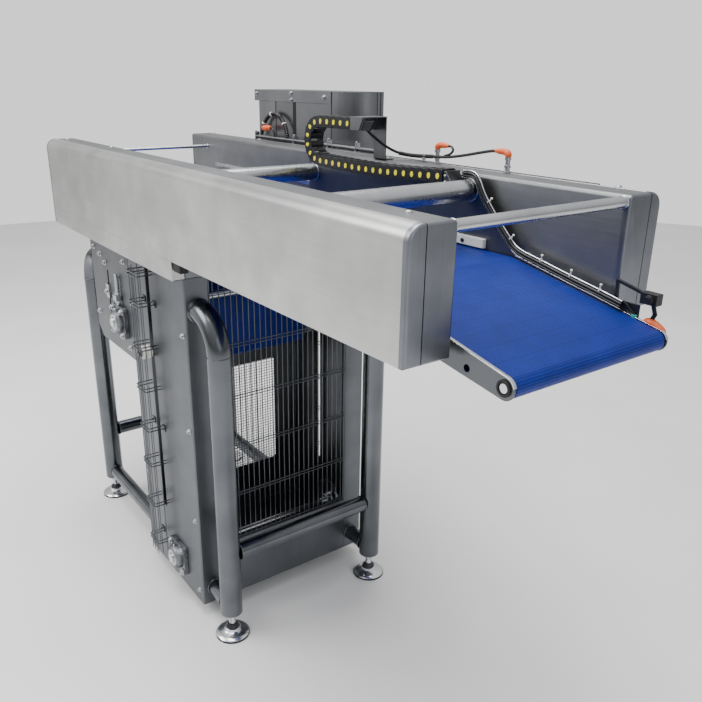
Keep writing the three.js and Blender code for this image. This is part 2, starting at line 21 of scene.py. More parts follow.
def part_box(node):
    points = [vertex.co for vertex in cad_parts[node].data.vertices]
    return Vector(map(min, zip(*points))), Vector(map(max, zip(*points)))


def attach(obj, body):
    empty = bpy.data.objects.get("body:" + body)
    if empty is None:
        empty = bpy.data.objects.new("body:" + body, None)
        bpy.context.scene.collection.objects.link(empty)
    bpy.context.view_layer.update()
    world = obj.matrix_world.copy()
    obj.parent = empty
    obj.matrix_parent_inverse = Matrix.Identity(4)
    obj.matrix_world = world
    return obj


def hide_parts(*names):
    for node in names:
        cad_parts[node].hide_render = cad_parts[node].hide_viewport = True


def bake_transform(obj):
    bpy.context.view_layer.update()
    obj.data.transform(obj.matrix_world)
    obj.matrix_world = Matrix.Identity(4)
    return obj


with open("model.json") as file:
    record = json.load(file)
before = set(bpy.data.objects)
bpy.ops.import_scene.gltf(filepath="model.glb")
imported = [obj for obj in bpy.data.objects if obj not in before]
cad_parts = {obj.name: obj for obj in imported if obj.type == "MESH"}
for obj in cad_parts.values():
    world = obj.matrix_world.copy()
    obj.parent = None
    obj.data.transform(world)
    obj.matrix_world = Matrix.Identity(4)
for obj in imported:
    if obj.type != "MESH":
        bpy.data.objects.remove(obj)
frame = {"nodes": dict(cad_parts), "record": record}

LOG = logging.getLogger("belt_loader")
MM = 0.001
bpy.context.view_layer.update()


class Axis(Enum):
    """A main axis, by its column in an array of points."""

    X = 0
    Y = 1
    Z = 2

    @property
    def plane(self) -> tuple[int, int]:
        """The two other axes, in the order that makes the three right-handed."""
        return (self.value + 1) % 3, (self.value + 2) % 3


class Body(str, Enum):
    """The moving bodies that a piece may ride on."""

    ROOT = "root"
    SHUTTLE = "shuttle"
    NOSE = "nose_roller"
    CARRIER_LOOP = "carrier_loop"
    TAKEUP = "takeup"
    DRUM = "takeup_drum"
    LOWER_SHAFT = "lower_chain_shaft"
    UPPER_SHAFT = "upper_chain_shaft"
    FRONT_TURN = "front_turn_roller"
    OVER = "over_roller"
    REAR_TURN = "rear_turn_roller"
    TAIL = "tail_roller"
    DRIVE = "drive_roller"
    NEAR_FRONT_FOOT = "near_front_foot"
    FAR_FRONT_FOOT = "far_front_foot"
    NEAR_REAR_FOOT = "near_rear_foot"
    FAR_REAR_FOOT = "far_rear_foot"


class Slot(str, Enum):
    """The record's material slots."""

    BRUSHED = "brushed_steel"
    SATIN = "satin_steel"
    BRIGHT = "bright_steel"
    WIRE = "guard_wire"
    BELT = "blue_belt"
    BLACK = "black_plastic"
    CAST = "cast_metal"


# ---- shapes ----
@dataclass
class Shell:
    """A closed surface: points in millimetres, faces, and for some a pair of surface lengths per point.

    Faces are lists of point indices whose order turns anticlockwise as seen from outside.
    """

    points: np.ndarray
    faces: list
    lengths: np.ndarray | None = None

    def moved(self, x: float = 0.0, y: float = 0.0, z: float = 0.0) -> "Shell":
        """This shell shifted by x, y and z."""
        return Shell(self.points + np.array([x, y, z]), self.faces, self.lengths)

    def turned(self, axis: Axis, degrees: float, about: tuple = (0.0, 0.0, 0.0)) -> "Shell":
        """This shell turned about a line along an axis.

        Args:
            axis: the line's direction.
            degrees: the angle, by the right-hand rule.
            about: a point on the line.

        Returns:
            The turned shell: each point's offset from the line is turned in the plane square to it.
        """
        a, b = axis.plane
        c, s = math.cos(math.radians(degrees)), math.sin(math.radians(degrees))
        offset = self.points - np.array(about)
        out = offset.copy()
        out[:, a] = c * offset[:, a] - s * offset[:, b]
        out[:, b] = s * offset[:, a] + c * offset[:, b]
        return Shell(out + np.array(about), self.faces, self.lengths)

    def mirrored(self) -> "Shell":
        """This shell seen in the mid-plane: y changes sign, and each face is listed the other way round."""
        return Shell(self.points * np.array([1, -1, 1]), [f[::-1] for f in self.faces], self.lengths)

    def side(self, s: int) -> "Shell":
        """This shell for the near side (s = -1), or its mirror image for the far side (s = 1)."""
        return self if s < 0 else self.mirrored()

    def copied(self, offsets: np.ndarray) -> "Shell":
        """Copies of this shell, one at each offset (rows of x, y, z)."""
        offsets = np.atleast_2d(np.array(offsets, float))
        points = (self.points[None, :, :] + offsets[:, None, :]).reshape(-1, 3)
        count = len(self.points)
        faces = [[i + k * count for i in f] for k in range(len(offsets)) for f in self.faces]
        return Shell(points, faces)


def merged(*shells: Shell) -> Shell:
    """Several shells as one, each still closed on its own."""
    starts = np.cumsum([0] + [len(s.points) for s in shells[:-1]])
    faces = [[i + int(start) for i in f] for s, start in zip(shells, starts) for f in s.faces]
    return Shell(np.vstack([s.points for s in shells]), faces)


def grid(points: np.ndarray, ring: bool = False) -> Shell:
    """A surface through rows of closed cross-sections.

    Args:
        points: an array of rows x columns x 3. A row is one closed loop, anticlockwise as seen when
            looking back along the way that the rows advance.
        ring: joins the last row to the first, in place of closing both with flat caps.

    Returns:
        The closed shell. The face at row i, column j spans the points (i, j) to (i + 1, j + 1).
    """
    rows, cols = points.shape[:2]
    index = np.arange(rows * cols).reshape(rows, cols)
    ahead = np.roll(index, -1, axis=1)
    low, high = (index, np.roll(index, -1, axis=0)) if ring else (index[:-1], index[1:])
    low_next, high_next = (ahead, np.roll(ahead, -1, axis=0)) if ring else (ahead[:-1], ahead[1:])
    faces = np.stack([low, low_next, high_next, high], axis=-1).reshape(-1, 4).tolist()
    if not ring:
        faces += [index[0, ::-1].tolist(), index[-1].tolist()]
    return Shell(points.reshape(-1, 3), faces)


def circle(radius: float, sides: int = 32, centre: tuple = (0.0, 0.0)) -> np.ndarray:
    """Points on a circle: the centre plus radius times the cosine and sine of even steps of angle."""
    angle = np.linspace(0, 2 * np.pi, sides, endpoint=False)
    return np.array(centre) + radius * np.stack([np.cos(angle), np.sin(angle)], axis=1)


def arc(centre: tuple, radius: float, start: float, end: float, steps: int = 8) -> np.ndarray:
    """Points on an arc from start to end degrees, both ends included."""
    angle = np.radians(np.linspace(start, end, steps + 1))
    return np.array(centre) + radius * np.stack([np.cos(angle), np.sin(angle)], axis=1)


def rounded(width: float, height: float, radius: float, steps: int = 5, centre: tuple = (0, 0)) -> np.ndarray:
    """A rectangle with round corners: four quarter arcs, one about each inset corner, anticlockwise."""
    w, h = width / 2 - radius, height / 2 - radius
    corners = [((w, h), 0), ((-w, h), 90), ((-w, -h), 180), ((w, -h), 270)]
    return np.vstack([arc(c, radius, a, a + 90, steps) for c, a in corners]) + np.array(centre)


def ribbon(line: np.ndarray, thick: float) -> np.ndarray:
    """The outline of a strip of even thickness whose middle runs along an open line in a plane.

    Each point is pushed to both sides along the mean of its two neighbouring segments' normals, divided by
    one plus their dot product, which keeps the thickness even round a corner.
    """
    step = np.diff(line, axis=0)
    normal = np.stack([-step[:, 1], step[:, 0]], axis=1) / np.linalg.norm(step, axis=1)[:, None]
    before, after = np.vstack([normal[:1], normal]), np.vstack([normal, normal[-1:]])
    push = (before + after) / (1 + (before * after).sum(axis=1))[:, None]
    return np.vstack([line - push * thick / 2, (line + push * thick / 2)[::-1]])


def anticlockwise(outline: np.ndarray) -> np.ndarray:
    """The outline listed anticlockwise: turned round if its signed area is negative."""
    x, y = outline.T
    area = (x * np.roll(y, -1) - y * np.roll(x, -1)).sum()
    return outline if area > 0 else outline[::-1]


def lifted(flat: np.ndarray, axis: Axis, height: float) -> np.ndarray:
    """Points of a plane as points in space: the plane is square to the axis, at a height along it."""
    a, b = axis.plane
    out = np.zeros(flat.shape[:-1] + (3,))
    out[..., a], out[..., b], out[..., axis.value] = flat[..., 0], flat[..., 1], height
    return out


def prism(outline: np.ndarray, axis: Axis, low: float, high: float, holes: tuple = ()) -> Shell:
    """An outline carried straight along an axis, with holes right through.

    Args:
        outline: points in the plane square to the axis, in the order of Axis.plane.
        axis: the direction that it is carried along.
        low: where it starts along the axis.
        high: where it ends.
        holes: the outlines of its holes.

    Returns:
        The closed shell: walls between the two ends of each loop, and ends cut into triangles.
    """
    outline = anticlockwise(outline)
    if not len(holes):
        return grid(np.stack([lifted(outline, axis, low), lifted(outline, axis, high)]))
    loops = [outline] + [anticlockwise(h)[::-1] for h in holes]
    flat = np.vstack(loops)
    count = len(flat)
    triangles = np.array(tessellate_polygon([[Vector((*p, 0.0)) for p in loop] for loop in loops]))
    a, b, c = (flat[triangles[:, k]] for k in range(3))
    turn = (b - a)[:, 0] * (c - a)[:, 1] - (b - a)[:, 1] * (c - a)[:, 0]
    triangles[turn < 0] = triangles[turn < 0][:, ::-1]
    starts = np.cumsum([0] + [len(loop) for loop in loops])
    walls = []
    for start, end in zip(starts[:-1], starts[1:]):
        here = np.arange(start, end)
        there = np.roll(here, -1)
        walls += np.stack([here, there, there + count, here + count], axis=1).tolist()
    faces = walls + triangles[:, ::-1].tolist() + (triangles + count).tolist()
    return Shell(np.vstack([lifted(flat, axis, low), lifted(flat, axis, high)]), faces)


def block(x: tuple, y: tuple, z: tuple) -> Shell:
    """A box between two values on each axis."""
    corners = np.array([[y[0], z[0]], [y[1], z[0]], [y[1], z[1]], [y[0], z[1]]], float)
    return prism(corners, Axis.X, min(x), max(x))


def plate_xz(outline: np.ndarray, low: float, high: float, holes: tuple = ()) -> Shell:
    """A plate drawn in X and Z and carried along Y, with holes through it."""
    flipped = [np.asarray(hole, float)[:, ::-1] for hole in holes]
    return prism(np.asarray(outline, float)[:, ::-1], Axis.Y, min(low, high), max(low, high), tuple(flipped))


def eased_prism(
        outline: np.ndarray, axis: Axis, low: float, high: float, ease: tuple, fixed: float | None = None
) -> Shell:
    """An outline carried along an axis, its end edges rounded.

    Near an end each row is drawn in along the outline's normals by the ease times one minus the cosine of an
    angle that runs from 0 to 90 degrees, while it advances by the ease times the sine.

    Args:
        outline: points in the plane square to the axis.
        axis: the direction that it is carried along.
        low: where it starts.
        high: where it ends.
        ease: the rounding at the low end and at the high end, 0 for none.
        fixed: points whose first coordinate is this value keep it, so that the edge there stays sharp.

    Returns:
        The closed shell.
    """
    outline = anticlockwise(np.asarray(outline, float))
    step = np.roll(outline, -1, axis=0) - outline
    normal = np.stack([step[:, 1], -step[:, 0]], axis=1) / np.linalg.norm(step, axis=1)[:, None]
    before = np.roll(normal, 1, axis=0)
    push = (before + normal) / (1 + (before * normal).sum(axis=1))[:, None]
    if fixed is not None:
        push[np.abs(outline[:, 0] - fixed) < 1e-6, 0] = 0.0
    turn = np.radians(np.linspace(0, 90, 6))
    inset, advance = 1 - np.cos(turn), 1 - np.sin(turn)
    first = [
        lifted(outline - push * ease[0] * i, axis, low + ease[0] * a) for i, a in zip(inset, advance)
    ][::-1]
    last = [lifted(outline - push * ease[1] * i, axis, high - ease[1] * a) for i, a in zip(inset, advance)]
    return grid(np.stack((first if ease[0] else first[:1]) + (last if ease[1] else last[:1])))


def turned_solid(profile: list, axis: Axis, centre: tuple, sides: int = 48, ring: bool = False) -> Shell:
    """A profile turned about an axis: each pair of radius and height becomes a circle at that height.

    Args:
        profile: pairs of radius and height, the height rising along the axis on the outside.
        axis: the axis that it turns about.
        centre: the point that heights are counted from.
        sides: the number of columns round it.
        ring: the profile is closed on itself, as for a ring.

    Returns:
        The closed shell. A closed profile is listed anticlockwise, with radius across and height up.
    """
    unit = circle(1.0, sides)
    rows = np.stack([lifted(unit * max(r, 0.02), axis, h) for r, h in profile])
    shell = grid(rows, ring)
    return shell.moved(*centre)


def rod(
        radius: float, axis: Axis, low: float, high: float, at: tuple, sides: int = 32, soft: float = 0.8
) -> Shell:
    """A straight bar with eased ends.

    Args:
        radius: the bar's radius.
        axis: its direction.
        low: its start along the axis.
        high: its end.
        at: its place on the two other axes, in the order of Axis.plane.
        sides: the number of columns round it.
        soft: how far its end edges are eased.

    Returns:
        The closed shell.
    """
    profile = [(radius - soft, low), (radius, low + soft), (radius, high - soft), (radius - soft, high)]
    centre = lifted(np.array(at, float), axis, 0.0)
    return turned_solid(profile, axis, tuple(centre), sides)


def rod_y(
        radius: float, x: float, z: float, low: float, high: float, sides: int = 32, soft: float = 0.8
) -> Shell:
    """A straight bar along Y at an x and z."""
    return rod(radius, Axis.Y, min(low, high), max(low, high), (z, x), sides, soft)


def band(radius: float, thick: float, axis: Axis, height: float, at: tuple, sides: int = 40) -> Shell:
    """A round bead about a bar, such as a weld: a circle of half the thickness carried round the axis."""
    bead = circle(thick, 10)
    profile = [(radius + r, height + h) for r, h in bead]
    return turned_solid(profile, axis, tuple(lifted(np.array(at, float), axis, 0.0)), sides, ring=True)


def tube(path: np.ndarray, radius: float, sides: int = 16, across: Axis = Axis.Y) -> Shell:
    """A round bar along a path.

    Args:
        path: points along its middle.
        radius: its radius, or one radius for each point.
        sides: the number of columns round it.
        across: an axis that the path never runs along. Each section is drawn on two unit vectors square to
            the path: the path's direction crossed with this axis, and the direction crossed with that.

    Returns:
        The closed shell.
    """
    path = np.array(path, float)
    ahead = np.gradient(path, axis=0)
    ahead /= np.linalg.norm(ahead, axis=1)[:, None]
    side = np.cross(ahead, np.eye(3)[across.value])
    side /= np.linalg.norm(side, axis=1)[:, None]
    up = np.cross(ahead, side)
    unit = circle(1.0, sides)
    reach = np.broadcast_to(np.array(radius, float), (len(path),))[:, None, None]
    ring = side[:, None, :] * unit[None, :, :1] + up[:, None, :] * unit[None, :, 1:]
    return grid(path[:, None, :] + reach * ring)


def rods(starts: np.ndarray, ends: np.ndarray, radius: float, sides: int = 8) -> Shell:
    """Many straight wires at once: the same unit circle is set square to each wire at its two ends."""
    starts, ends = np.broadcast_arrays(np.atleast_2d(np.array(starts, float)), np.array(ends, float))
    along = (ends - starts) / np.linalg.norm(ends - starts, axis=1)[:, None]
    least = np.eye(3)[np.abs(along).argmin(axis=1)]
    side = np.cross(along, least)
    side /= np.linalg.norm(side, axis=1)[:, None]
    up = np.cross(along, side)
    unit = circle(radius, sides)
    ring = side[:, None, :] * unit[None, :, :1] + up[:, None, :] * unit[None, :, 1:]
    return merged(*[grid(np.stack([a + r, b + r])) for a, b, r in zip(starts, ends, ring)])


def bolt(axis: Axis, sign: int, size: float = 8.0, washer: bool = True) -> Shell:
    """A hexagon head on a washer, standing on the origin.

    Args:
        axis: the bolt's axis.
        sign: +1 or -1, the way that the head points along it.
        size: half the width over the head's corners.
        washer: puts a washer under the head.

    Returns:
        The shell: a washer, a head whose top edge is eased, and a short threaded end above it.
    """
    hexagon = circle(1.0, 6)
    base = 1.6 if washer else 0.0
    levels = [(size, base), (size, base + 0.55 * size), (size * 0.86, base + 0.68 * size)]
    head = grid(np.stack([lifted(hexagon * r, axis, h) for r, h in levels]))
    pieces = [head]
    if washer:
        pieces.append(
            turned_solid([(size * 1.3, 0), (size * 1.3, 1.2), (size * 1.2, 1.6)], axis, (0, 0, 0), 24)
        )
    pieces.append(rod(size * 0.5, axis, base + 0.6 * size, base + 1.1 * size, (0, 0), 16, 0.6))
    made = merged(*pieces)
    if sign > 0:
        return made
    other = Axis((axis.value + 1) % 3)
    return made.turned(other, 180.0)


def linked(link: Shell, line: np.ndarray, count: int) -> Shell:
    """Copies of a link laid end to end along a line in X and Z.

    Args:
        link: one link, drawn along +X from its origin, its height along Z.
        line: the line's X, Z points.
        count: the number of links. Their joints lie at even distances along the line.

    Returns:
        The links: a link's x runs from one joint towards the next, and its z square to that.
    """
    joints = resampled(line, np.linspace(0, lengths_along(line)[-1], count + 1))
    ahead = np.diff(joints, axis=0)
    ahead /= np.linalg.norm(ahead, axis=1)[:, None]
    x, y, z = link.points.T
    px = joints[:-1, :1] + ahead[:, :1] * x - ahead[:, 1:] * z
    pz = joints[:-1, 1:] + ahead[:, 1:] * x + ahead[:, :1] * z
    points = np.stack([px, np.broadcast_to(y, px.shape), pz], axis=-1).reshape(-1, 3)
    size = len(link.points)
    return Shell(points, [[i + k * size for i in f] for k in range(count) for f in link.faces])


def smooth_path(points: list, steps: int = 12) -> np.ndarray:
    """A smooth line through points, by the Catmull-Rom formula.

    Between two points the line is a cubic in t whose slope at each is half the way between its neighbours.
    """
    p = np.array(points, float)
    p = np.vstack([2 * p[0] - p[1], p, 2 * p[-1] - p[-2]])
    t = np.linspace(0, 1, steps, endpoint=False)[None, :, None]
    a, b, c, d = (p[k : len(p) - 3 + k, None, :] for k in range(4))
    curve = 0.5 * (2 * b + (c - a) * t + (2 * a - 5 * b + 4 * c - d) * t**2 + (3 * b - a - 3 * c + d) * t**3)
    return np.vstack([curve.reshape(-1, p.shape[1]), p[-2:-1]])


def lengths_along(line: np.ndarray) -> np.ndarray:
    """The distance along a line to each of its points: the running sum of its steps' lengths."""
    return np.concatenate([[0.0], np.cumsum(np.linalg.norm(np.diff(line, axis=0), axis=1))])


def resampled(line: np.ndarray, distances: np.ndarray) -> np.ndarray:
    """The points of a line at given distances along it, by linear interpolation."""
    along = lengths_along(line)
    return np.stack([np.interp(distances, along, line[:, k]) for k in range(line.shape[1])], axis=1)


# ---- finishes ----
def linear(code: str, alpha: float = 1.0) -> tuple:
    """An sRGB hex colour as linear red, green, blue and alpha.

    Args:
        code: the colour, such as "#B0B0AE".
        alpha: its opacity.

    Returns:
        Four numbers. Up to 0.04045 a channel is divided by 12.92, and above that it is ((c + 0.055) / 1.055)
        to the power 2.4.
    """
    channels = [int(code[i : i + 2], 16) / 255 for i in (1, 3, 5)]
    return tuple(c / 12.92 if c <= 0.04045 else ((c + 0.055) / 1.055) ** 2.4 for c in channels) + (alpha,)


def add_node(tree: bpy.types.NodeTree, kind: str, inputs: dict | None = None, **settings) -> bpy.types.Node:
    """Adds one node to a tree.

    Args:
        tree: the material's node tree.
        kind: the node's type name.
        inputs: by socket name or number, a value to set or an output socket to link from.
        settings: attributes of the node itself.

    Returns:
        The node.
    """
    made = tree.nodes.new(kind)
    for name, value in settings.items():
        setattr(made, name, value)
    for socket, value in (inputs or {}).items():
        if isinstance(value, bpy.types.NodeSocket):
            tree.links.new(value, made.inputs[socket])
        else:
            made.inputs[socket].default_value = value
    return made


def ramp(tree: bpy.types.NodeTree, source: bpy.types.NodeSocket, stops: list) -> bpy.types.NodeSocket:
    """A colour ramp on a value: stops are pairs of position and linear colour.

    Returns:
        The ramp's colour output.
    """
    made = add_node(tree, "ShaderNodeValToRGB", {"Fac": source})
    elements = made.color_ramp.elements
    while len(elements) < len(stops):
        elements.new(0.5)
    for element, (place, colour) in zip(elements, stops):
        element.position, element.color = place, colour
    return made.outputs["Color"]


def grey(value: float) -> tuple:
    """A neutral linear colour of one value, for ramps that stand for a number."""
    return (value, value, value, 1.0)


@dataclass(frozen=True)
class Finish:
    """What every finish has: its name, its colours and its shader's constants."""

    name: str
    colour: str
    roughness: float
    metallic: float = 0.0
    ior: float = 1.5
    gloss: float = 0.5

    def material(self) -> bpy.types.Material:
        """The finish as a material, made once and then shared."""
        found = bpy.data.materials.get(self.name)
        if found:
            return found
        made = bpy.data.materials.new(self.name)
        made.use_nodes = True
        tree = made.node_tree
        tree.nodes.clear()
        constants = {
            "Metallic": self.metallic, "Roughness": self.roughness, "Base Color": linear(self.colour)
        }
        if not self.metallic:
            constants["IOR"] = self.ior
            constants["Specular IOR Level"] = self.gloss
        shader = add_node(tree, "ShaderNodeBsdfPrincipled", constants)
        add_node(tree, "ShaderNodeOutputMaterial", {"Surface": shader.outputs["BSDF"]})
        made.diffuse_color = linear(self.colour)
        self.pattern(tree, shader)
        return made

    def pattern(self, tree: bpy.types.NodeTree, shader: bpy.types.Node) -> None:
        """Adds the finish's own pattern to its shader."""

    def noise(self, tree: bpy.types.NodeTree, sizes_mm: tuple, detail: float = 3.0) -> bpy.types.NodeSocket:
        """A noise on Object coordinates whose grain has a given size in millimetres on each axis.

        Returns:
            The noise's value, 0 to 1.
        """
        place = add_node(tree, "ShaderNodeTexCoord").outputs["Object"]
        scale = tuple(1000.0 / size for size in sizes_mm)
        mapped = add_node(tree, "ShaderNodeMapping", {"Vector": place, "Scale": scale})
        inputs = {"Vector": mapped.outputs["Vector"], "Scale": 1.0, "Detail": detail, "Roughness": 0.55}
        return add_node(tree, "ShaderNodeTexNoise", inputs).outputs["Fac"]

    def bump(self, tree: bpy.types.NodeTree, shader: bpy.types.Node, height: bpy.types.NodeSocket,
             depth_mm: float, strength: float = 1.0) -> None:
        """Links a height to the shader's normal as a bump of a given depth in millimetres."""
        inputs = {"Height": height, "Distance": depth_mm * MM, "Strength": strength}
        made = add_node(tree, "ShaderNodeBump", inputs)
        tree.links.new(made.outputs["Normal"], shader.inputs["Normal"])


@dataclass(frozen=True)
class BrushedStainless(Finish):
    """Stainless sheet ground with a belt: fine scratches along one axis, and cloudy stains from the wipe.

    The scratches give a soft streaked gloss, and the clouds show as slow changes of tone.
    """

    roughness: float = 0.34
    metallic: float = 1.0
    grain: Axis = Axis.X
    stain: str = "#8E9094"
    cloud_mm: float = 230.0
    grain_mm: float = 1.3  # real scratches are 0.1 mm apart, too fine to show, so they are drawn coarser
    scratch_depth_mm: float = 0.010

    def pattern(self, tree: bpy.types.NodeTree, shader: bpy.types.Node) -> None:
        """Scratches drive the roughness and the bump, and clouds drive the colour."""
        sizes = [self.grain_mm] * 3
        sizes[self.grain.value] = 260.0
        scratch = self.noise(tree, tuple(sizes), 4.0)
        cloud = self.noise(tree, (self.cloud_mm, self.cloud_mm, self.cloud_mm * 0.8), 3.0)
        smear = self.noise(tree, (self.cloud_mm * 0.5,) * 3, 2.0)
        both = add_node(tree, "ShaderNodeMath", {0: cloud, 1: smear}, operation="MULTIPLY")
        tone = ramp(tree, both.outputs[0], [(0.10, linear(self.stain)), (0.42, linear(self.colour))])
        streak = ramp(tree, scratch, [(0.3, grey(0.86)), (0.7, grey(1.0))])
        inputs = {0: 1.0, 6: tone, 7: streak}
        mixed = add_node(tree, "ShaderNodeMix", inputs, data_type="RGBA", blend_type="MULTIPLY")
        tree.links.new(mixed.outputs[2], shader.inputs["Base Color"])
        low, high = self.roughness - 0.07, self.roughness + 0.12
        rough = add_node(tree, "ShaderNodeMapRange", {"Value": scratch, "To Min": low, "To Max": high})
        tree.links.new(rough.outputs["Result"], shader.inputs["Roughness"])
        self.bump(tree, shader, scratch, self.scratch_depth_mm, 0.6)


@dataclass(frozen=True)
class PolishedTube(Finish):
    """Drawn stainless tube, polished all over: smooth tone with faint clouds and a sharper gloss."""

    roughness: float = 0.26
    metallic: float = 1.0
    stain: str = "#707379"

    def pattern(self, tree: bpy.types.NodeTree, shader: bpy.types.Node) -> None:
        """Clouds of 120 mm change the tone, and films of 30 mm the roughness."""
        cloud = self.noise(tree, (120, 120, 120), 3.0)
        film = self.noise(tree, (30, 30, 30), 3.0)
        tone = ramp(tree, cloud, [(0.32, linear(self.stain)), (0.68, linear(self.colour))])
        tree.links.new(tone, shader.inputs["Base Color"])
        span = {"Value": film, "To Min": self.roughness - 0.04, "To Max": self.roughness + 0.08}
        rough = add_node(tree, "ShaderNodeMapRange", span)
        tree.links.new(rough.outputs["Result"], shader.inputs["Roughness"])


@dataclass(frozen=True)
class TurnedSteel(Finish):
    """Bright turned or plated steel: nearly a mirror, with the faint rings that the tool leaves."""

    roughness: float = 0.16
    metallic: float = 1.0

    def pattern(self, tree: bpy.types.NodeTree, shader: bpy.types.Node) -> None:
        """Rings along the height, 1.5 mm apart, and a light film in patches."""
        rings = self.noise(tree, (40, 40, 1.5), 2.0)
        film = self.noise(tree, (14, 14, 14), 4.0)
        span = {"Value": film, "To Min": self.roughness - 0.05, "To Max": self.roughness + 0.16}
        rough = add_node(tree, "ShaderNodeMapRange", span)
        tree.links.new(rough.outputs["Result"], shader.inputs["Roughness"])
        self.bump(tree, shader, rings, 0.02, 0.5)


@dataclass(frozen=True)
class CastSteel(Finish):
    """Fine sand-cast or forged steel: an even, dull metal with a pebbled skin."""

    roughness: float = 0.48
    metallic: float = 1.0

    def pattern(self, tree: bpy.types.NodeTree, shader: bpy.types.Node) -> None:
        """Pebbles of 1.6 mm raise the skin, and dirt of 20 mm darkens it."""
        pebble = self.noise(tree, (1.6, 1.6, 1.6), 3.0)
        dirt = self.noise(tree, (20, 20, 20), 4.0)
        tone = ramp(tree, dirt, [(0.3, linear("#4E5054")), (0.6, linear(self.colour))])
        tree.links.new(tone, shader.inputs["Base Color"])
        self.bump(tree, shader, pebble, 0.08, 0.7)


@dataclass(frozen=True)
class MouldedPlastic(Finish):
    """An injection-moulded plastic: a fine spark-eroded skin, with slight changes of tone from handling."""

    roughness: float = 0.45
    grain_mm: float = 0.9

    def pattern(self, tree: bpy.types.NodeTree, shader: bpy.types.Node) -> None:
        """The skin's grain drives a faint bump, and wear of 25 mm shifts the roughness."""
        grain = self.noise(tree, (self.grain_mm,) * 3, 2.0)
        wear = self.noise(tree, (25, 25, 25), 4.0)
        span = {"Value": wear, "To Min": self.roughness - 0.1, "To Max": self.roughness + 0.14}
        rough = add_node(tree, "ShaderNodeMapRange", span)
        tree.links.new(rough.outputs["Result"], shader.inputs["Roughness"])
        self.bump(tree, shader, grain, 0.03, 0.5)


@dataclass(frozen=True)
class BeltAcetal(Finish):
    """Blue acetal belt modules: a raised diamond texture, and a fine line where the modules hinge.

    It reads the belt's own lengths, so the pattern keeps its place on the belt as it bends. The diamonds are
    9 mm apart, a little coarser than real ones, so that they show.
    """

    roughness: float = 0.5
    gloss: float = 0.22
    diamond_mm: float = 9.0
    hinge_mm: float = 15.0

    def pattern(self, tree: bpy.types.NodeTree, shader: bpy.types.Node) -> None:
        """Raised diamonds are the product of two crossed cosines, and hinges are dips in a third; the low
        ground between the diamonds is darkened as painted shade.
        """
        place = add_node(tree, "ShaderNodeUVMap", uv_map="belt").outputs["UV"]
        split = add_node(tree, "ShaderNodeSeparateXYZ", {"Vector": place})
        along, across = split.outputs["X"], split.outputs["Y"]

        def wave(
                a: bpy.types.NodeSocket, b: float | bpy.types.NodeSocket, pitch_mm: float
        ) -> bpy.types.NodeSocket:
            """The cosine of a + b at a pitch in millimetres, as a socket."""
            total = add_node(tree, "ShaderNodeMath", {0: a, 1: b}, operation="ADD").outputs[0]
            turn = {0: total, 1: 2000 * math.pi / pitch_mm}
            angle = add_node(tree, "ShaderNodeMath", turn, operation="MULTIPLY").outputs[0]
            return add_node(tree, "ShaderNodeMath", {0: angle}, operation="COSINE").outputs[0]

        minus = add_node(tree, "ShaderNodeMath", {0: across, 1: -1.0}, operation="MULTIPLY").outputs[0]
        crossed = {0: wave(along, across, self.diamond_mm), 1: wave(along, minus, self.diamond_mm)}
        diamond = add_node(tree, "ShaderNodeMath", crossed, operation="MULTIPLY").outputs[0]
        raised = ramp(tree, diamond, [(0.25, grey(0.0)), (0.75, grey(1.0))])
        hinge = ramp(tree, wave(along, 0.0, self.hinge_mm), [(0.93, grey(1.0)), (1.0, grey(0.0))])
        height = add_node(tree, "ShaderNodeMath", {0: raised, 1: hinge}, operation="MULTIPLY").outputs[0]
        cloud = self.noise(tree, (60, 60, 60), 4.0)
        shade = ramp(tree, cloud, [(0.3, linear("#0E2F9B")), (0.7, linear(self.colour))])
        # Painted shade: the low ground between the raised diamonds is darkened to 0.42 of the blue; the hinge
        # lines darken with it as dark joints.
        dark = ramp(tree, height, [(0.0, grey(0.42)), (0.6, grey(1.0))])
        mixed = add_node(
            tree, "ShaderNodeMix", {0: 1.0, 6: shade, 7: dark}, data_type="RGBA", blend_type="MULTIPLY"
        )
        tree.links.new(mixed.outputs[2], shader.inputs["Base Color"])
        self.bump(tree, shader, height, 0.5, 0.7)


@dataclass(frozen=True)
class StudioFloor(Finish):
    """A pale painted floor, smooth and dull."""

    roughness: float = 0.75

    def pattern(self, tree: bpy.types.NodeTree, shader: bpy.types.Node) -> None:
        """A slow change of tone over 900 mm, so that the floor isn't one flat value."""
        cloud = self.noise(tree, (900, 900, 900), 2.0)
        tone = ramp(tree, cloud, [(0.3, linear("#F1F1F0")), (0.7, linear(self.colour))])
        tree.links.new(tone, shader.inputs["Base Color"])


# Painted light: the beams' outer sheet is the same brushed stainless as the tower, drawn far paler for the
# light that falls on the beams' tops and near faces.
BEAM_SHEET = BrushedStainless("stainless_sheet_brushed_painted_light", "#DCDCDA", grain=Axis.X, stain="#BDBDBC")
INNER_SHEET = BrushedStainless(
    "stainless_sheet_brushed_inner", "#939496", 0.42, grain=Axis.X, stain="#7E8082"
)
# Painted shade: the tower, gussets, shuttle plates, drum and bed are the same brushed stainless as the beams,
# drawn far darker for the shade that falls below and between the beams.
PANEL_SHEET = BrushedStainless(
    "stainless_sheet_brushed_painted_shade", "#74777B", 0.38, grain=Axis.Z, stain="#63666A"
)
CAP_SHEET = BrushedStainless("stainless_sheet_brushed_across", "#9A9DA3", 0.36, grain=Axis.Z, stain="#777A81")
HOOD_SHEET = BrushedStainless("stainless_hood_brushed", "#898A8C", 0.34, grain=Axis.Z, stain="#737578")
# Painted shade: the legs, rails and lower rollers use the same polished tube as the cross bars, drawn far
# darker for the shade below the beams.
TUBE = PolishedTube("stainless_tube_polished_painted_shade", "#6C6F73", 0.22, stain="#5D6064")
